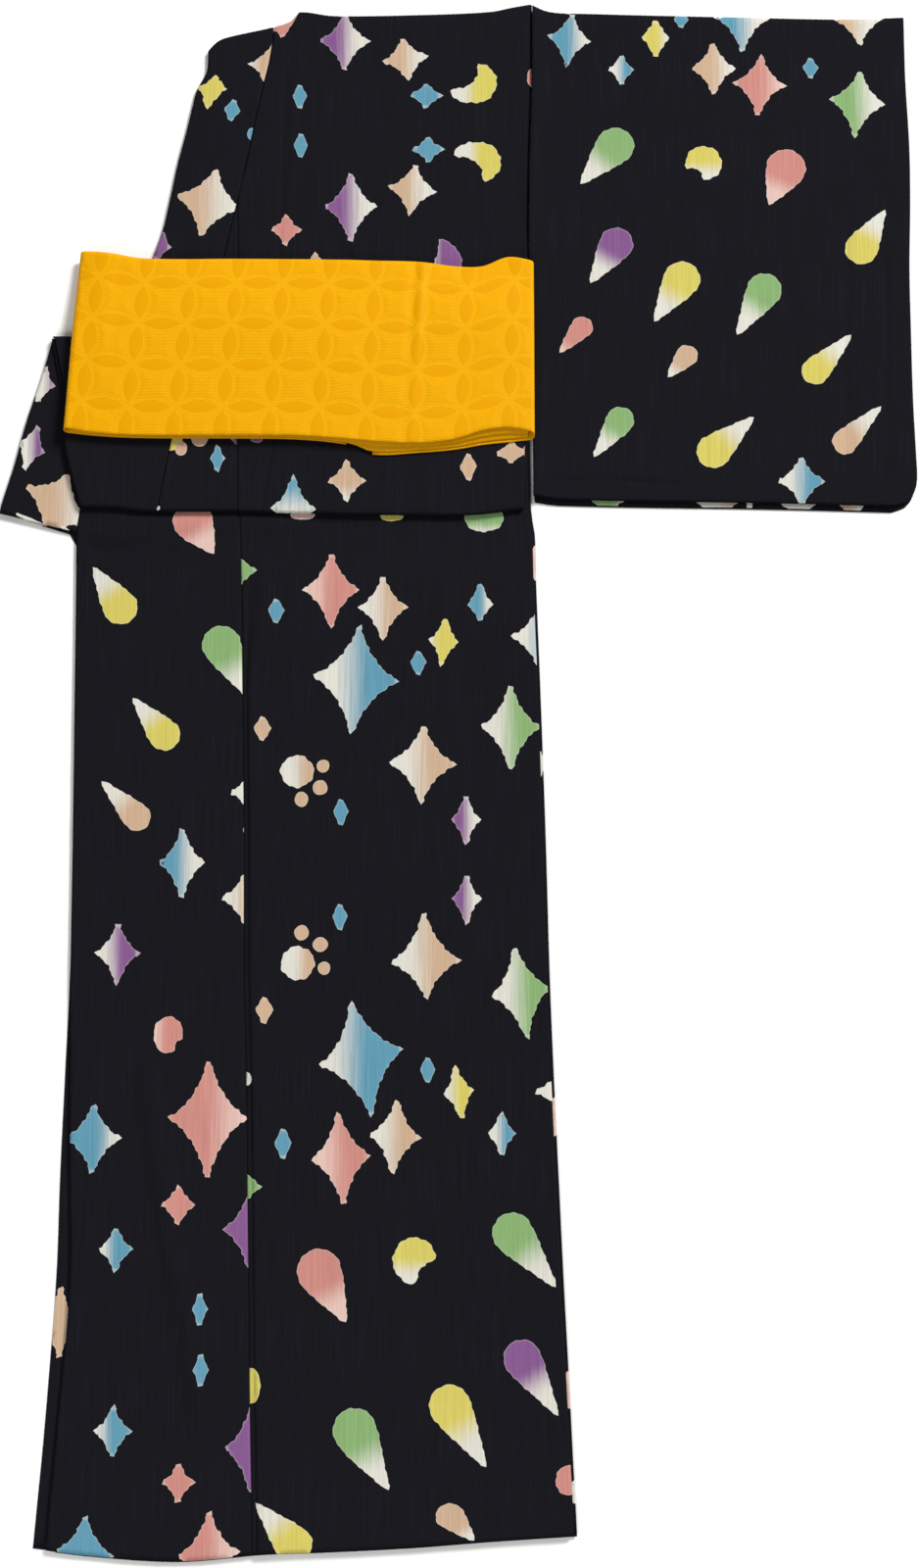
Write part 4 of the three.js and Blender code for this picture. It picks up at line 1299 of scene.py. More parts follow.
@dataclass
class BodyPanel(Sheet):
    """A panel of the robe's body that goes through the waist tuck."""

    levels: Levels = Levels(10.2, 5.4, 3.9)
    top: float = NECK_ROW
    end: float = HEM_ROW
    rolled: bool = True
    fine: bool = True
    left_column: str = "okumi"
    right_column: str = "side"
    left_inset: float = SEAM / 2
    right_inset: float = 0.0
    trim: float = 1.0
    seam_depth: float = 0.8  # of the groove along its seams
    groove: float = 1.5  # width of that groove
    pressed: float = 0.0  # how much higher it is beyond the pressed allowance of its left seam
    creases: tuple[Sequence[Crease], Sequence[Crease]] = ((), ())
    motifs: tuple[Sequence[Motif], Sequence[Motif]] = ((), ())

    def __post_init__(self) -> None:
        """Works out the path, the edges and where the motifs lie."""
        self.path = FoldedPath(self.levels, self.top, self.end, self.rolled, self.fine)
        self.left = self.left_edge()
        self.right = self.right_edge()
        self.upper_creases, self.lower_creases = (CreaseMap(c) for c in self.creases)
        for run, motifs in zip((Run.UPPER, Run.LOWER), self.motifs):
            self.placed += [self.lay(motif, run) for motif in motifs]

    def left_edge(self) -> np.ndarray:
        """Its left edge at each station."""
        return self.path.edge(lambda run: RUN_LINES[run][self.left_column]) + self.left_inset

    def right_edge(self) -> np.ndarray:
        """Its right edge at each station."""
        return self.path.edge(lambda run: RUN_LINES[run][self.right_column]) - self.right_inset

    def lay(self, motif: Motif, run: Run) -> PlacedMotif:
        """Finds where a motif's middle lies on the sheet.

        Args:
            motif: The motif.
            run: The run it shows on.

        Returns:
            The motif with its place.
        """
        level = self.levels.lower
        x, y = PHOTO.place(motif.x, motif.y, level)
        if run is Run.UPPER:
            level += (self.levels.upper - self.levels.lower) * float(ramp(y))
            x, y = PHOTO.place(motif.x, motif.y, level)
        row = y
        for _ in range(ALIGN_STEPS):
            laid = settle(np.array(x), np.array(row), self.trim)
            if run is Run.UPPER:
                laid = laid + tuck_shift(np.array(x), np.array(row))
            row += y - float(laid)
        t = self.path.at_row(run, row)
        beyond = HEM_ROW - row if run is Run.LOWER else 0.0
        return PlacedMotif(motif, x, t + max(beyond, 0.0))

    def stations(self) -> np.ndarray:
        """Lengths down the sheet at which it has a row."""
        return self.path.t

    def edges_at(self, t: np.ndarray) -> Pair:
        """Its left and right edge along X at lengths down it."""
        return np.interp(t, self.path.t, self.left), np.interp(t, self.path.t, self.right)

    def slant(self, x: np.ndarray, t: np.ndarray, y: np.ndarray) -> np.ndarray:
        """How far its lowest rows lean towards the hem, which only the collar's do."""
        return np.zeros_like(y)

    def place(self, a: np.ndarray, t: np.ndarray) -> np.ndarray:
        """Where its points lie, in table millimetres."""
        path = self.path
        y, z = np.interp(t, path.t, path.y), np.interp(t, path.t, path.z)
        ny, nz = np.interp(t, path.t, path.ny), np.interp(t, path.t, path.nz)
        left, right = self.edges_at(t)
        x = left + (right - left) * a / self.width
        above = t < path.lower_from
        laid = settle(x, y, self.trim) + np.where(above, tuck_shift(x, y), 0.0)
        laid = laid - self.slant(x, t, y)
        lift = np.where(nz > FACE_UP, self.relief(x, laid, above), 0.0)
        edge = np.minimum(x - left, right - x)
        lift -= self.seam_depth * (1 - smoothstep(edge, 0.0, self.groove))
        lift += np.where(above | (nz < FACE_UP), 0.0, self.allowance(x - left, laid))
        return np.column_stack([x, laid + ny * lift, z + nz * lift])

    def allowance(self, beside: np.ndarray, y: np.ndarray) -> np.ndarray:
        """Step at the edge of the pressed seam allowance, which shows as a second line.

        Args:
            beside: Distances from the left seam.
            y: Heights along Y.

        Returns:
            Millimetres that it adds, under 0 over the allowance.
        """
        step_width, sunk = 3.2, 0.25
        band = 3.2 + 9.0 * smoothstep(y, 40.0, 190.0)
        step = smoothstep(beside - band, 0.0, step_width) - sunk
        return self.pressed * step * (1 - smoothstep(y, 140.0, 176.0))

    def relief(self, x: np.ndarray, y: np.ndarray, above: np.ndarray) -> np.ndarray:
        """Height of the cloth's own unevenness over its level."""
        if not self.fine:
            return np.zeros_like(x)
        creases = np.where(above, self.upper_creases.rise(x, y), self.lower_creases.rise(x, y))
        hem_height, hem_depth = 0.35, 24
        hem = hem_height * smoothstep(-(y - HEM_ROW - hem_depth), 0.0, 2.0)
        return swell(x, y) + 0.7 * np.maximum(rumple(x, y), -0.3) + creases + hem

    def extra_points(self) -> Places:
        """Mesh points along its narrow creases."""
        points = []
        for run, creases in ((Run.UPPER, self.upper_creases), (Run.LOWER, self.lower_creases)):
            for x, y in creases.mesh_points():
                t = self.path.at_row(run, y)
                points.append((float(self.across(np.array(x), np.array(t))), t))
        return points


@dataclass
class CollarPanel(BodyPanel):
    """The collar, whose lower end slants."""

    def drop(self, y: np.ndarray, lower: np.ndarray) -> np.ndarray:
        """How far its seam corner lies towards the hem at a row."""
        reach = np.clip((RETURN_FOLD - y) / (RETURN_FOLD - COLLAR_END_OUTER), 0.0, 1.0)
        return np.where(lower, (COLLAR_END_OUTER - COLLAR_END_SEAM) * reach**2, 0.0)

    def right_edge(self) -> np.ndarray:
        """Its seam side, read where its rows lie after the slant."""
        path = self.path
        lower = np.array([run is Run.LOWER and nz > FACE_UP for run, nz in zip(path.run, path.nz)])
        rows = path.y - self.drop(path.y, lower)
        seam = [float(RUN_LINES[run]["collar"](y)) for run, y in zip(path.run, rows)]
        return np.array(seam) - self.right_inset

    def slant(self, x: np.ndarray, t: np.ndarray, y: np.ndarray) -> np.ndarray:
        """How far its lowest rows lean towards the hem."""
        left, right = self.edges_at(t)
        return self.drop(y, t > self.path.lower_from) * (x - left) / (right - left)


@dataclass
class HiddenPanel(BodyPanel):
    """A sheet under the left front, which shows only along its edges."""

    thickness: float = HIDDEN_THICKNESS
    column_step: float = 9.0
    top: float = 672.0
    rolled: bool = False
    fine: bool = False
    seam_depth: float = 0.1
    reach_left: float = 0.0  # how far in it starts
    reach_side: float = 0.0  # how far out it ends below the tuck

    def left_edge(self) -> np.ndarray:
        """Its left edge, which below the tuck is the right overlap panel's own."""
        tucked_in, most_in = 3.0, 5.0
        values = []
        for run, y in zip(self.path.run, self.path.y):
            if run is Run.LOWER:
                values.append(float(RUN_LINES[run]["under"](y)) + self.reach_left)
            else:
                inset = min(self.reach_left, most_in)
                values.append(float(RUN_LINES[run]["outer"](y)) + tucked_in + inset)
        return np.array(values)

    def right_edge(self) -> np.ndarray:
        """Its side edge, which shows a little past the left front below the tuck."""
        tucked_in = -1.5
        values = []
        for run, y in zip(self.path.run, self.path.y):
            reach = self.reach_side if run is Run.LOWER else min(self.reach_side, tucked_in)
            values.append(float(RUN_LINES[run]["side"](y)) + reach)
        return np.array(values)


@dataclass(frozen=True)
class SleeveRow:
    """One section of the sleeve: its edges along X at a height along Y."""

    y: float
    inner: float
    outer: float


SLEEVE_ROWS = (
    SleeveRow(676, 66.2, 405.2),
    SleeveRow(612, 65.8, 405.2),
    SleeveRow(547, 63.6, 406.9),
    SleeveRow(489, 62.4, 406.2),
    SleeveRow(432, 62.1, 404),
    SleeveRow(369, 63, 403.6),
    SleeveRow(307, 64.5, 403.7),
    SleeveRow(258, 65, 405),
    SleeveRow(240, 65, 405.2),
    SleeveRow(229, 65, 402.5),
    SleeveRow(221, 65, 396),
    SleeveRow(217, 65, 384),
)
SLEEVE_INNER = Line([r.y for r in SLEEVE_ROWS], [r.inner for r in SLEEVE_ROWS])
SLEEVE_OUTER = Line([r.y for r in SLEEVE_ROWS], [r.outer for r in SLEEVE_ROWS])
SLEEVE_TOP = Line((62, 81.5, 117, 260, 350, 407), (684.6, 676, 674, 670.3, 668.5, 670.3))
SLEEVE_BOTTOM = Line((62, 88, 278, 380), (222.5, 218.7, 215.2, 212.5))


@dataclass
class Sleeve(Sheet):
    """A sleeve: one length of cloth folded at the shoulder, its back below its front."""

    centre: float = 4.75  # height of the middle between its two faces
    radius: float = 0.85  # of the fold at the shoulder
    insets: tuple[float, float] = (0.0, 0.0)  # how far in its back and its front lie
    peeks: tuple[float, float] = (0.0, 0.0)  # how far they show below
    ridge_height: float = 1.3  # of the raised allowance along the armhole
    ridge_width: float = 16.0
    edge_drop: float = 0.45  # how far its edges turn down
    edge_width: float = 2.2
    visible_step: float = 5.0  # between the rows of a face that shows
    hidden_step: float = 12.0
    fine: bool = True
    motifs: Sequence[Motif] = ()
    creases: Sequence[Crease] = ()

    def __post_init__(self) -> None:
        """Works out the path over the shoulder and where the motifs lie."""
        top, bottom = SLEEVE_ROWS[0].y - self.radius, SLEEVE_ROWS[-1].y
        # Rows close up towards the rounded corner at the lower end.
        near_end = np.array([bottom, 219, 221, 225, 229, 234, 240, 249, 258])
        step = self.visible_step if self.fine else self.hidden_step
        up = np.concatenate([near_end, FoldedPath.rows(268, top, self.hidden_step)])
        down = np.concatenate([FoldedPath.rows(top, 263, step), near_end[::-1]])
        arc = [math.radians(degrees) for degrees in range(30, 180, 30)]
        self.y = np.concatenate([up, np.full(len(arc), top), down])
        out = [0.0] * len(up) + [math.sin(a) for a in arc] + [0.0] * len(down)
        facing = [-1.0] * len(up) + [-math.cos(a) for a in arc] + [1.0] * len(down)
        self.out, self.up = np.array(out), np.array(facing)
        y, z = self.y + self.out * self.radius, self.up * self.radius
        self.t = np.concatenate([[0.0], np.cumsum(np.hypot(np.diff(y), np.diff(z)))])
        self.front_from = float(self.t[len(up) + len(arc)])
        self.crease_map = CreaseMap(self.creases)
        self.placed += [self.lay(motif) for motif in self.motifs]

    def lay(self, motif: Motif) -> PlacedMotif:
        """Finds where a motif's middle lies on the front face."""
        x, y = PHOTO.place(motif.x, motif.y, self.centre + self.radius)
        row = y
        for _ in range(ALIGN_STEPS):
            row += y - float(self.bend(np.array(x), np.array(row), self.insets[1], self.peeks[1]))
        front = self.t >= self.front_from
        return PlacedMotif(motif, x, float(np.interp(-row, -self.y[front], self.t[front])))

    def bend(
        self, x: np.ndarray, y: np.ndarray, inset: np.ndarray | float, peek: np.ndarray | float
    ) -> np.ndarray:
        """Bends rows onto the sleeve's top and bottom lines.

        Args:
            x: Places along X.
            y: The rows' own heights along Y.
            inset: How far in from those lines it stops.
            peek: How far it shows below.

        Returns:
            The heights along Y after bending.
        """
        top, bottom = SLEEVE_ROWS[0].y, SLEEVE_ROWS[-1].y
        near_top = np.clip((y - (top - BLEND)) / BLEND, 0.0, 1.0)
        near_bottom = np.clip((bottom + BLEND - y) / BLEND, 0.0, 1.0)
        to_top = SLEEVE_TOP(x) - top - inset
        to_bottom = SLEEVE_BOTTOM(x) - bottom - peek + inset
        return y + near_top * to_top + near_bottom * to_bottom

    def stations(self) -> np.ndarray:
        """Lengths over the sleeve at which it has a row."""
        return self.t

    def insets_at(self, t: np.ndarray) -> Pair:
        """How far it is set in and shows below, which differ between back and front."""
        share = (np.interp(t, self.t, self.up) + 1) / 2
        inset = self.insets[0] + (self.insets[1] - self.insets[0]) * share
        peek = self.peeks[0] + (self.peeks[1] - self.peeks[0]) * share
        return inset, peek

    def edges_at(self, t: np.ndarray) -> Pair:
        """Its armhole and cuff edge along X at lengths over it."""
        y = np.interp(t, self.t, self.y)
        inset, _ = self.insets_at(t)
        return SLEEVE_INNER(y) + SEAM + inset, SLEEVE_OUTER(y) - inset

    def place(self, a: np.ndarray, t: np.ndarray) -> np.ndarray:
        """Where its points lie, in table millimetres."""
        y = np.interp(t, self.t, self.y)
        out, up = np.interp(t, self.t, self.out), np.interp(t, self.t, self.up)
        left, right = self.edges_at(t)
        inset, peek = self.insets_at(t)
        x = left + (right - left) * a / self.width
        laid = self.bend(x, y, inset, peek) + out * self.radius
        z = self.centre + up * self.radius
        front = t >= self.front_from
        if self.fine:
            ridge = self.ridge_height * (1 - smoothstep(x - left, 2.0, self.ridge_width))
            face = ridge + swell(x, laid) + 0.8 * np.maximum(rumple(x, laid), -0.2)
            face += self.crease_map.rise(x, laid)
            z = z + np.where(front, face, 0.0)
        end = np.where(front, self.t[-1] - t, 10.0)
        edge = np.minimum(np.minimum(x - left, right - x), end)
        turned = np.where(front, self.edge_drop, 0.0) * (1 - smoothstep(edge, 0, self.edge_width))
        return np.column_stack([x, laid, z - turned])

    def extra_points(self) -> Places:
        """Mesh points along its narrow creases."""
        front = self.t >= self.front_from
        points = []
        for x, y in self.crease_map.mesh_points():
            t = float(np.interp(-y, -self.y[front], self.t[front]))
            points.append((float(self.across(np.array(x), np.array(t))), t))
        return points


@dataclass(frozen=True)
class ObiSection:
    """One section of the folded obi: its edges along Y at a place along X."""

    x: float
    top: float
    upper_edge: float
    lower_edge: float


OBI_SECTIONS = (
    ObiSection(-350, 445.5, 280, 277.8),
    ObiSection(-322, 443, 275.6, 274.5),
    ObiSection(-283, 437.5, 273.2, 272.5),
    ObiSection(-195, 437.2, 272.9, 272),
    ObiSection(-141, 436.8, 272.5, 271),
    ObiSection(-98, 436.2, 269.6, 266),
    ObiSection(-77, 435.5, 267.6, 257.3),
    ObiSection(-35, 434.2, 265.8, 259),
    ObiSection(-4, 430, 269.4, 261.7),
    ObiSection(20, 430, 277, 266),
    ObiSection(43, 438.5, 280, 268.5),
    ObiSection(66, 435, 276, 271),
)
OBI_TOP = Line([s.x for s in OBI_SECTIONS], [s.top for s in OBI_SECTIONS])
OBI_UPPER = Line([s.x for s in OBI_SECTIONS], [s.upper_edge for s in OBI_SECTIONS])
OBI_LOWER = Line([s.x for s in OBI_SECTIONS], [s.lower_edge for s in OBI_SECTIONS])


def bump_at(away: np.ndarray, width: float) -> np.ndarray:
    """A rounded ridge of height 1 across its own line."""
    return np.exp(-((away / width) ** 2))


@dataclass
class Obi:
    """The half-width obi, folded flat over the waist, its outermost turn round its inner ones."""

    material: bpy.types.Material
    cloth: float = 1.1  # thickness of its outermost turn
    layers: int = 5  # of its inner turns, 1 mm each
    width: float = 165.0
    left: float = -350.0
    right: float = 66.5
    tail: float = -77.0  # where its outer tail ends, along X
    inner_tail: float = -100.0
    taper: float = 3.0  # how much lower its lower half ends at the neck side
    grid: float = 1.65  # of the mesh of the turn that shows
    sleeve_top: float = 7.5
    pitch_along: float = 41.5  # of the interlocked circles woven in it
    pitch_across: float = 38.5
    knot: tuple[float, float] = (-285.3, 103.0)  # one meeting of four petals: along, and across
    padding: float = 0.42  # height of the cells between the petals
    petal_height: float = 0.16
    lap: float = -38.0  # where an inner end shows through, along X
    crease: float = -318.0  # where its left end was pressed before
    slack: float = 0.35  # height of its slow unevenness

    @property
    def top_level(self) -> float:
        """Underside of its top turn over the obi's own rest."""
        return self.cloth + SEAM + self.layers + SEAM

    def rest(self, x: np.ndarray, y: np.ndarray) -> np.ndarray:
        """Height of what the obi lies on."""
        on_front = stack_top(y) + UNDER_OBI
        on_sleeve = np.maximum(self.sleeve_top + SEAM - on_front, 0.0)
        # Past the robe's edge its left end droops.
        beyond = smoothstep(-x, 322.0, 350.0)
        droop = 3.5 * beyond * smoothstep(y, RETURN_FOLD - 16, 430.0)
        return on_front + on_sleeve * smoothstep(x, 20.0, 58.0) - droop

    def lean(self, x: np.ndarray, y: np.ndarray) -> np.ndarray:
        """How far a left-hand point leans towards the sleeve."""
        end = OBI_SECTIONS[0]
        upward = (y - end.upper_edge) / (end.top - end.upper_edge)
        return 10.0 * upward * smoothstep(-x, 250.0, 350.0)

    def woven(self, x: np.ndarray, y: np.ndarray, across: np.ndarray) -> Pair:
        """Place in the woven pattern, in repeats: the pattern leans a little with the strip."""
        slope = 0.045 + 0.06 * smoothstep(-x, 0.0, 300.0)
        u = (x - (y - 378.0) * slope - self.knot[0]) / self.pitch_along
        v = (across * self.width - self.knot[1]) / self.pitch_across
        return u, v

    def petal(self, u: np.ndarray, v: np.ndarray) -> np.ndarray:
        """How far inside a petal of the pattern a place is, over 0 within it."""
        a, b = np.abs(u - np.floor(u) - 0.5), np.abs(v - np.floor(v) - 0.5)
        return math.sqrt(0.5) - np.minimum(np.hypot(1 - a, b), np.hypot(a, 1 - b))

    def relief(self, x: np.ndarray, y: np.ndarray, across: np.ndarray) -> np.ndarray:
        """Raised cells, an inner end that shows through, and soft ridges near the left end."""
        u, v = self.woven(x, y, across)
        inside = self.petal(u, v)
        cells = self.padding * smoothstep(-inside, 0.0, 0.14)
        cells += self.petal_height * smoothstep(inside, 0.02, 0.16)
        # The inner end is a ridge with a trough beside it, stronger towards the neck.
        beside = x - (self.lap + 0.065 * (y - 350.0))
        step = 0.9 * bump_at(beside, 4.0) - 0.5 * bump_at(beside + 7.0, 5.0)
        step *= 0.35 + 0.65 * smoothstep(y, 330.0, 390.0)
        near_left = self.crease + 0.055 * (y - 350.0)
        ridge = 0.6 * bump_at(x - near_left, 7.0) * smoothstep(y, 300.0, 380.0)
        slack = self.slack * np.sin(x / 31.0 + y / 60.0) * np.sin(y / 27.0 + 1.0)
        return cells + step + ridge + slack

    def strip(
        self,
        name: str,
        path: list[tuple[float, float, float, float]],
        front: Callable[[np.ndarray, np.ndarray], np.ndarray],
        back: Callable[[np.ndarray, np.ndarray], np.ndarray],
        columns: int,
        top_from: float,
    ) -> bpy.types.Object:
        """Builds a strip of the obi along a path.

        Args:
            name: The piece's name.
            path: Stations of its middle: x, height over the obi's rest, and its outward side.
            front: Gives its edge towards the hem at stations, from x and height.
            back: Gives its edge towards the neck.
            columns: Spaces across it.
            top_from: Height from which it is the top turn, which has the relief.

        Returns:
            The piece.
        """
        stations = np.array(path)
        steps = np.hypot(np.diff(stations[:, 0]), np.diff(stations[:, 1]))
        reach = np.concatenate([[0.0], np.cumsum(steps)])
        ease = np.linspace(0.0, 1.0, columns + 1)
        x = np.repeat(stations[:, 0], columns + 1)
        level = np.repeat(stations[:, 1], columns + 1)
        nx, nz = np.repeat(stations[:, 2], columns + 1), np.repeat(stations[:, 3], columns + 1)
        across = np.tile(ease, len(stations))
        near, far = front(x, level), back(x, level)
        y = near + (far - near) * across
        x = x + self.lean(x, y)
        edge = np.minimum(y - near, far - y)
        on_top = (nz > FACE_UP) & (level > top_from)
        lift = np.where(on_top, self.relief(x, y, across), 0.0)
        ends = smoothstep(x, self.left + 1, self.left + 12) * smoothstep(self.right - x, 1.0, 12.0)
        lift = lift * ends * smoothstep(edge, 0.0, 3.0)
        rounded = 0.55 * (1 - smoothstep(edge, 0.0, 2.4))
        lift -= rounded * np.clip(nz, 0, 1) * (level > top_from)
        points = np.column_stack([x + nx * lift, y, self.rest(x, y) + level + nz * lift])
        wide = columns + 1
        faces = [
            (i * wide + j, i * wide + j + 1, (i + 1) * wide + j + 1, (i + 1) * wide + j)
            for i in range(len(stations) - 1)
            for j in range(columns)
        ]
        mesh = bpy.data.meshes.new(name)
        mesh.from_pydata(to_frame(points).tolist(), [], faces)
        u, v = self.woven(x, y, across)
        along = np.repeat(reach, columns + 1)
        offset = (self.left - self.knot[0]) / self.pitch_along
        u = np.where(on_top, u, offset + along / self.pitch_along)
        uv = mesh.uv_layers.new(name="repeat")
        thread = mesh.uv_layers.new(name="cloth")
        loops = np.array(faces).ravel()
        uv.data.foreach_set("uv", np.column_stack([u[loops], v[loops]]).astype(np.float32).ravel())
        metres = np.column_stack([along[loops], across[loops] * self.width]) * MM
        thread.data.foreach_set("uv", metres.astype(np.float32).ravel())
        return link_object(mesh, name, self.material)

    def outer_turn(self) -> bpy.types.Object:
        """The outermost turn: inner tail, left loop, top, right loop and the tail that shows."""
        half, radius = self.cloth / 2, self.top_level / 2
        centre = radius + half
        left, right = self.left + radius + half, self.right - radius - half
        high = self.top_level + half

        def loop(x: float, start: float) -> list[tuple[float, float, float, float]]:
            """Half a turn round an end, clockwise from a start in degrees."""
            turned = []
            for degrees in range(12, 180, 12):
                a = math.radians(start - degrees)
                c, s = math.cos(a), math.sin(a)
                turned.append((x + radius * c, centre + radius * s, c, s))
            return turned

        path = [(x, half, 0.0, -1.0) for x in FoldedPath.rows(self.inner_tail, left, 9)]
        path += loop(left, 270)
        path += [(x, high, 0.0, 1.0) for x in FoldedPath.rows(left, right, self.grid)]
        path += loop(right, 90)
        path += [(x, half, 0.0, -1.0) for x in FoldedPath.rows(right, self.tail, 7)]

        def front(x: np.ndarray, level: np.ndarray) -> np.ndarray:
            """Its edge towards the hem."""
            share = np.clip((level - half) / self.top_level, 0.0, 1.0)
            return OBI_LOWER(x) + (OBI_UPPER(x) - OBI_LOWER(x)) * share

        def back(x: np.ndarray, level: np.ndarray) -> np.ndarray:
            """Its edge towards the neck."""
            share = np.clip((level - half) / self.top_level, 0.0, 1.0)
            return OBI_TOP(x) - self.taper * (1 - share)

        columns = int(self.width / self.grid)
        piece = self.strip("obi_outer_turn_cloth", path, front, back, columns, self.top_level)
        thicken(piece, self.cloth - 0.1)
        tails = (self.inner_tail - left) + (right - self.tail)
        length = (right - left) + math.pi * radius * 2 + tails
        self.declare(piece, "obi_outer_turn", length, "left_front_cloth")
        return piece

    def inner_turns(self) -> bpy.types.Object:
        """The turns inside, one strip folded to and fro."""
        set_in = 1.2  # of every other turn
        columns, thickness, no_top = 24, 0.72, 99.0
        room = self.top_level / 2 + self.cloth + SEAM
        left, right = self.left + room, self.right - room
        path: list[tuple[float, float, float, float]] = []
        length = 0.0
        for k in range(self.layers):
            level = self.cloth + SEAM + k + 0.5
            rightward = k % 2 == 0
            inset = self.cloth + SEAM + set_in * (k % 2)
            ends = (left + inset, right - inset) if rightward else (right - inset, left + inset)
            side = 1.0 if rightward else -1.0
            path += [(x, level, 0.0, side) for x in FoldedPath.rows(ends[0], ends[1], 10)]
            length += abs(ends[1] - ends[0])
            if k < self.layers - 1:
                for degrees in (45, 90, 135):
                    a = math.radians(degrees)
                    c, s = math.cos(a), math.sin(a)
                    x, z = ends[1] + side * 0.5 * s, level + 0.5 - 0.5 * c
                    path.append((x, z, side * s, c * side))
                length += math.pi * 0.5

        def inset_at(level: np.ndarray) -> np.ndarray:
            """How far a turn lies inside the outermost one."""
            return self.cloth + SEAM + set_in * (np.floor(level - self.cloth - SEAM) % 2)

        def front(x: np.ndarray, level: np.ndarray) -> np.ndarray:
            """Its edge towards the hem."""
            share = np.clip((level - self.cloth - SEAM) / self.layers, 0.0, 1.0)
            return OBI_LOWER(x) + (OBI_UPPER(x) - OBI_LOWER(x)) * share + inset_at(level)

        def back(x: np.ndarray, level: np.ndarray) -> np.ndarray:
            """Its edge towards the neck."""
            return OBI_TOP(x) - self.taper - inset_at(level)

        piece = self.strip("obi_inner_turns_cloth", path, front, back, columns, no_top)
        thicken(piece, thickness)
        self.declare(piece, "obi_inner_turns", length, "obi_outer_turn_cloth")
        return piece

    def declare(self, piece: bpy.types.Object, node: str, length: float, under: str) -> None:
        """Hangs the piece on the root, hides the part that it replaces and logs its faces."""
        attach(piece, "root")
        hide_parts(node)
        log.info("%s: %d faces", piece.name, len(piece.data.polygons))

    def make(self) -> None:
        """Builds both of its pieces."""
        self.outer_turn()
        self.inner_turns()


Value = float | tuple[float, ...] | Socket  # what a node's input takes


def add_node(
    tree: Tree, kind: str, inputs: dict | None = None, **settings: object
) -> bpy.types.Node:
    """Adds a shader node with its settings and links.

    Args:
        tree: The material's node tree.
        kind: The node's type name.
        inputs: A value or an output socket for each input, by name or number.
        **settings: The node's own properties.

    Returns:
        The node.
    """
    node = tree.nodes.new(kind)
    for name, value in settings.items():
        setattr(node, name, value)
    for key, value in (inputs or {}).items():
        if isinstance(value, Socket):
            tree.links.new(value, node.inputs[key])
        else:
            node.inputs[key].default_value = value
    return node


def maths(tree: Tree, operation: str, *values: Value) -> Socket:
    """A number worked out from others."""
    return add_node(tree, "ShaderNodeMath", dict(enumerate(values)), operation=operation).outputs[0]


def vectors(tree: Tree, operation: str, *values: Value) -> Socket:
    """A vector worked out from others, or the distance of two."""
    node = add_node(tree, "ShaderNodeVectorMath", dict(enumerate(values)), operation=operation)
    return node.outputs["Value" if operation == "DISTANCE" else "Vector"]


def remap(
    tree: Tree,
    value: Value,
    span: tuple[float, float],
    onto: tuple[float, float] = (0.0, 1.0),
    kind: str = "LINEAR",
) -> Socket:
    """A number carried from one span onto another, and held to its ends."""
    inputs = dict(enumerate((value, *span, *onto)))
    return add_node(tree, "ShaderNodeMapRange", inputs, interpolation_type=kind).outputs[0]


def mix(tree: Tree, share: Value, one: Value, other: Value) -> Socket:
    """A colour between two others."""
    inputs = {0: share, 6: one, 7: other}
    return add_node(tree, "ShaderNodeMix", inputs, data_type="RGBA").outputs[2]


def scaled(tree: Tree, uv: Value, across: float, down: float) -> Socket:
    """Places on the cloth in repeats of so many millimetres."""
    scale = (1 / (across * MM), 1 / (down * MM), 1)
    return add_node(tree, "ShaderNodeMapping", {0: uv, "Scale": scale}).outputs[0]


def bumped(tree: Tree, strength: float, depth: float, height: Value) -> Socket:
    """The surface's direction, tilted by a height of so many millimetres."""
    inputs = {"Strength": strength, "Distance": depth * MM, "Height": height}
    return add_node(tree, "ShaderNodeBump", inputs).outputs[0]


def cover(tree: Tree, colour: Value, roughness: Value, gloss: float, normal: Value) -> None:
    """Ends a tree with its surface."""
    inputs = {"Base Color": colour, "Roughness": roughness, "Normal": normal}
    inputs["Specular IOR Level"] = gloss
    shader = add_node(tree, "ShaderNodeBsdfPrincipled", inputs)
    add_node(tree, "ShaderNodeOutputMaterial", {0: shader.outputs[0]})


def new_material(name: str) -> tuple[bpy.types.Material, Tree]:
    """A material with an empty node tree."""
    material = bpy.data.materials.new(name)
    material.use_nodes = True
    material.node_tree.nodes.clear()
    return material, material.node_tree


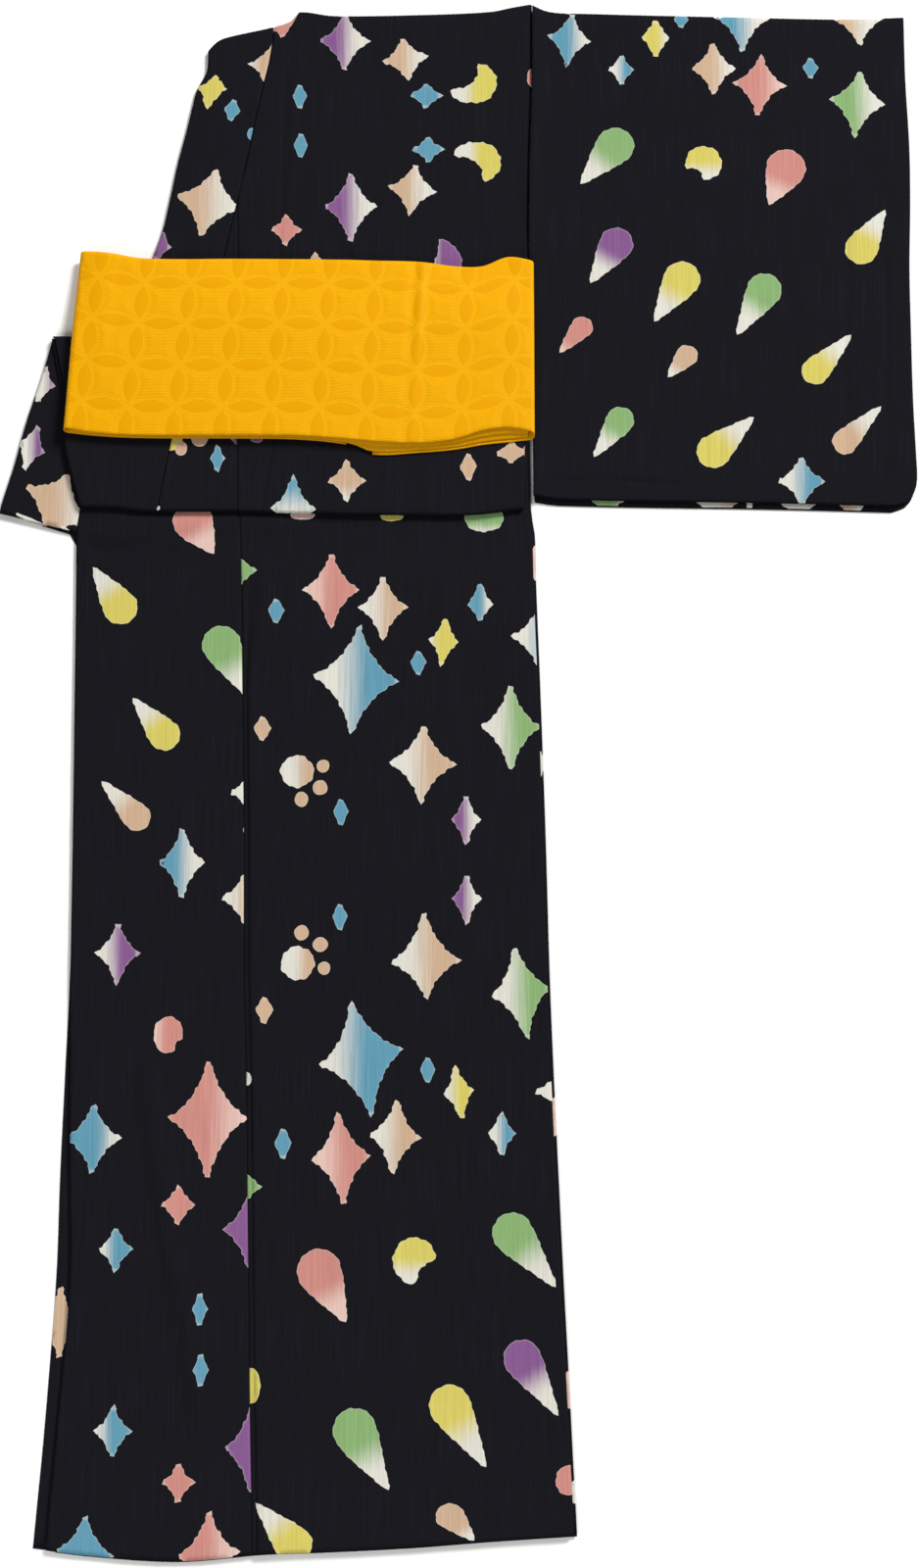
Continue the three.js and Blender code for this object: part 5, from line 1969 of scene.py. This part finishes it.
@dataclass(frozen=True)
class DyedSlubCotton:
    """Yarn-slubbed plain-weave cotton, paste-resist dyed through with bleeding edges.

    The navy ground is matt with faint lengthwise slubs, and the motifs show the slubs as fine
    lighter and darker streaks down the cloth.
    """

    ground: str = "#141419"
    slub: str = "#1b1b21"
    roughness: float = 0.88
    gloss: float = 0.03
    thread_mm: float = 1.6  # real threads are 0.4 mm apart, drawn coarse enough to show
    slub_mm: float = 1.7
    slub_run_mm: float = 70.0
    waver: float = 0.22  # how far the slubs carry a fade to and fro
    resist: float = 0.4  # share of bare cotton in the pale line round a motif

    def build(self) -> bpy.types.Material:
        """Makes the material.

        Returns:
            The material, which reads the cloth's dye attributes.
        """
        material, tree = new_material("dyed_slub_cotton")
        uv = add_node(tree, "ShaderNodeUVMap", uv_map="cloth").outputs[0]
        dye, second, fade, rim = (
            add_node(tree, "ShaderNodeAttribute", attribute_name=name)
            for name in ("dye", "second_dye", "fade", "rim")
        )

        def noise(across: float, down: float, detail: float, roughness: float) -> Value:
            """Unevenness drawn out over so many millimetres."""
            place = scaled(tree, uv, across, down)
            inputs = {0: place, "Scale": 1.0, "Detail": detail, "Roughness": roughness}
            return add_node(tree, "ShaderNodeTexNoise", inputs).outputs["Fac"]

        slubs = noise(self.slub_mm, self.slub_run_mm, 4.0, 0.62)
        weave = noise(self.thread_mm, self.thread_mm, 3.0, 0.6)
        streak = remap(tree, slubs, (0.52, 0.8))
        ground = mix(tree, streak, to_linear(self.ground), to_linear(self.slub))
        # The dye runs further along some slubs, so a fade wavers.
        uneven = maths(tree, "MULTIPLY_ADD", slubs, 2 * self.waver, -self.waver)
        wavering = maths(tree, "ADD", fade.outputs["Fac"], uneven)
        soft = remap(tree, wavering, (0.0, 1.0), kind="SMOOTHSTEP")
        motif = mix(tree, soft, dye.outputs["Color"], second.outputs["Color"])
        tone = remap(tree, slubs, (0.3, 0.7), (0.86, 1.07))
        streaked = vectors(tree, "MULTIPLY", motif, tone)
        pale = maths(tree, "MULTIPLY", rim.outputs["Fac"], self.resist)
        rimmed = mix(tree, pale, streaked, to_linear(Dye.CREAM.value))
        colour = mix(tree, dye.outputs["Alpha"], ground, rimmed)
        normal = bumped(tree, 0.35, 0.4, maths(tree, "ADD", weave, slubs))
        cover(tree, colour, self.roughness, self.gloss, normal)
        return material


@dataclass(frozen=True)
class RibbedObiSilk:
    """Ribbed obi cloth of yarn-dyed filament, with interlocked circles woven tone on tone.

    The cells are finely ribbed and catch the light, and their colour is painted lighter on the ribs
    and darker between them. The satin petals are deeper in colour, with two lighter thread lines
    round each.
    """

    cell: str = "#dd9d00"
    petal: str = "#d59400"
    line: str = "#e2a50a"
    roughness: float = 0.5
    sheen: float = 0.08  # how much smoother the petals are, and rougher the cells
    gloss: float = 0.06
    rib_mm: float = 1.3  # real ribs are 0.6 mm apart, drawn coarse enough to show
    rib_run_mm: float = 9.0
    line_at: float = 0.02  # of the petal's inner thread line, in repeats

    def build(self) -> bpy.types.Material:
        """Makes the material.

        Returns:
            The material, which reads the obi's pattern coordinates.
        """
        material, tree = new_material("ribbed_obi_silk")
        repeat, cloth = (
            add_node(tree, "ShaderNodeUVMap", uv_map=name).outputs[0]
            for name in ("repeat", "cloth")
        )
        # Circles meet four at a knot, and a petal is where two of them overlap.
        part = vectors(tree, "FRACTION", repeat)
        folded = vectors(tree, "ABSOLUTE", vectors(tree, "SUBTRACT", part, (0.5, 0.5, 0.0)))
        centres = ((1.0, 0.0, 0.0), (0.0, 1.0, 0.0))
        reach = (vectors(tree, "DISTANCE", folded, centre) for centre in centres)
        inside = maths(tree, "SUBTRACT", math.sqrt(0.5), maths(tree, "MINIMUM", *reach))
        petal = remap(tree, inside, (0.05, 0.08), kind="SMOOTHSTEP")
        # Two thread lines run round each petal, one on the circle and one just inside it.
        between_lines = maths(tree, "ABSOLUTE", maths(tree, "SUBTRACT", inside, self.line_at))
        line_gap = maths(tree, "ABSOLUTE", maths(tree, "SUBTRACT", between_lines, self.line_at))
        outline = remap(tree, line_gap, (0.004, 0.014), (0.6, 0.0))
        ribs = add_node(
            tree,
            "ShaderNodeTexWave",
            {
                0: scaled(tree, cloth, self.rib_run_mm, self.rib_mm),
                "Scale": 0.31,
                "Distortion": 1.2,
                "Detail": 2.0,
                "Detail Scale": 1.2,
            },
            bands_direction="Y",
        ).outputs["Fac"]
        # The ribs' height also sets the cells' colour, lighter on the ribs and darker between them:
        # painted light and shade on the ribs.
        tone = remap(tree, ribs, (0.0, 1.0), (0.93, 1.03))
        cell = vectors(tree, "MULTIPLY", to_linear(self.cell)[:3], tone)
        body = mix(tree, petal, cell, to_linear(self.petal))
        colour = mix(tree, outline, body, to_linear(self.line))
        rib_height = maths(tree, "MULTIPLY", ribs, maths(tree, "SUBTRACT", 1.0, petal))
        raised = maths(tree, "MULTIPLY_ADD", outline, 0.8, rib_height)
        rough = (self.roughness + self.sheen, self.roughness - self.sheen)
        roughness = remap(tree, petal, (0.0, 1.0), rough)
        cover(tree, colour, roughness, self.gloss, bumped(tree, 0.45, 0.3, raised))
        return material


@dataclass(frozen=True)
class StudioPaper:
    """Matt white paper under the robe, even and without gloss."""

    colour: str = "#f4f4f2"

    def build(self) -> bpy.types.Material:
        """Makes the material."""
        material, tree = new_material("studio_paper")
        grain = add_node(tree, "ShaderNodeTexNoise", {"Scale": 900.0, "Detail": 2.0}).outputs["Fac"]
        cover(tree, to_linear(self.colour), 0.95, 0.1, bumped(tree, 0.03, 0.2, grain))
        return material


@dataclass
class Robe:
    """The yukata: its hidden sheets, then the panels that show, and its sleeves."""

    material: bpy.types.Material

    def hidden(self) -> list[Sheet]:
        """The sheets under the left front, from the floor up, each set in a little differently."""
        return [
            HiddenPanel(
                "right_front_cloth", "hidden_layers", "floor", 420, self.material,
                levels=Levels(7.95, 7.6, 0.5), trim=0.6, reach_side=1.2,
                motifs=((), RIGHT_FRONT_LOWER),
            ),
            HiddenPanel(
                "right_back_cloth", "hidden_layers", "right_front_cloth", 420, self.material,
                levels=Levels(8.45, 7.15, 1.5), trim=2.2, reach_left=17.0, reach_side=0.2,
            ),
            HiddenPanel(
                "left_back_cloth", "hidden_layers", "right_back_cloth", 420, self.material,
                levels=Levels(8.95, 6.65, 2.5), trim=0.0, reach_left=19.0, reach_side=2.6,
                motifs=((), LEFT_BACK_LOWER),
            ),
        ]

    def shown(self) -> list[Sheet]:
        """The panels and sleeves that show."""
        creases = (UPPER_CREASES, LOWER_CREASES)
        return [
            Sleeve(
                "right_sleeve_cloth", "right_sleeve", "floor", 340, self.material,
                thickness=HIDDEN_THICKNESS, column_step=9.0, centre=1.5, radius=0.75,
                insets=(1.5, 1.0), peeks=(6.5, 5.0), fine=False, motifs=RIGHT_SLEEVE_FRONT,
            ),
            BodyPanel(
                "left_front_cloth", "left_front", "left_back_cloth", 265, self.material,
                pressed=2.0, creases=creases, motifs=(FRONT_UPPER, FRONT_LOWER),
            ),
            BodyPanel(
                "left_overlap_cloth", "left_overlap", "left_back_cloth", 150, self.material,
                top=490, rolled=False, left_column="collar", right_column="okumi",
                right_inset=SEAM / 2, creases=creases, motifs=(OVERLAP_UPPER, OVERLAP_LOWER),
            ),
            CollarPanel(
                "left_collar_cloth", "left_collar", "left_back_cloth", 68, self.material,
                end=COLLAR_END_OUTER, left_column="outer", left_inset=0.0, right_inset=2 * SEAM,
                creases=creases, motifs=(COLLAR_UPPER, COLLAR_LOWER),
            ),
            Sleeve(
                "left_sleeve_cloth", "left_sleeve", "right_sleeve_cloth", 340, self.material,
                motifs=SLEEVE_FRONT, creases=SLEEVE_CREASES,
            ),
        ]

    def make(self) -> None:
        """Builds every sheet."""
        for sheet in [*self.hidden(), *self.shown()]:
            sheet.make()


@dataclass
class Studio:
    """The pale floor, the soft lights and the camera over the robe, in metres and watts."""

    floor_size: float = 7.0
    key_place: tuple[float, float, float] = (4.0, 4.6, 4.5)
    key_size: float = 2.3
    key_power: float = 800.0
    fill_place: tuple[float, float, float] = (-1.2, -2.2, 2.0)
    fill_size: float = 1.6
    fill_power: float = 44.0
    world_strength: float = 0.25
    sensor_mm: float = 36.0

    def floor(self) -> None:
        """Lays the floor."""
        half = self.floor_size / 2
        mesh = bpy.data.meshes.new("floor")
        corners = [(-half, -half, 0), (half, -half, 0), (half, half, 0), (-half, half, 0)]
        mesh.from_pydata(corners, [], [(0, 1, 2, 3)])
        floor = link_object(mesh, "floor", StudioPaper().build())

    def light(
        self, name: str, place: tuple[float, float, float], size: float, power: float
    ) -> None:
        """Hangs a square soft light that faces the robe."""
        data = bpy.data.lights.new(name, "AREA")
        data.size, data.energy = size, power
        lamp = bpy.data.objects.new(name, data)
        lamp.location = place
        lamp.rotation_euler = (-Vector(place)).to_track_quat("-Z", "Y").to_euler()
        bpy.context.collection.objects.link(lamp)

    def camera(self) -> None:
        """Sets the camera where the photograph was taken from."""
        data = bpy.data.cameras.new("camera")
        data.lens, data.sensor_width = PHOTO.lens, self.sensor_mm
        camera = bpy.data.objects.new("camera", data)
        eye = to_frame(np.array([PHOTO.eye]))[0]
        target = to_frame(np.array([[0.0, PHOTO.look_y, 0.0]]))[0]
        camera.location = eye
        camera.rotation_euler = Vector(target - eye).to_track_quat("-Z", "Y").to_euler()
        bpy.context.collection.objects.link(camera)
        bpy.context.scene.camera = camera

    def make(self) -> None:
        """Builds the studio."""
        self.camera()
        self.floor()
        self.light("key", self.key_place, self.key_size, self.key_power)
        self.light("fill", self.fill_place, self.fill_size, self.fill_power)
        world = bpy.data.worlds.new("soft room")
        world.use_nodes = True
        background = world.node_tree.nodes["Background"]
        background.inputs["Color"].default_value = (1.0, 1.0, 1.0, 1.0)
        background.inputs["Strength"].default_value = self.world_strength
        bpy.context.scene.world = world
        bpy.context.scene.view_settings.view_transform = "Standard"


def main() -> None:
    """Builds the studio, the robe and the obi."""
    logging.basicConfig(level=logging.INFO, format="%(name)s: %(message)s")
    Studio().make()
    Robe(DyedSlubCotton().build()).make()
    Obi(RibbedObiSilk().build()).make()


if __name__ == "__main__":
    main()
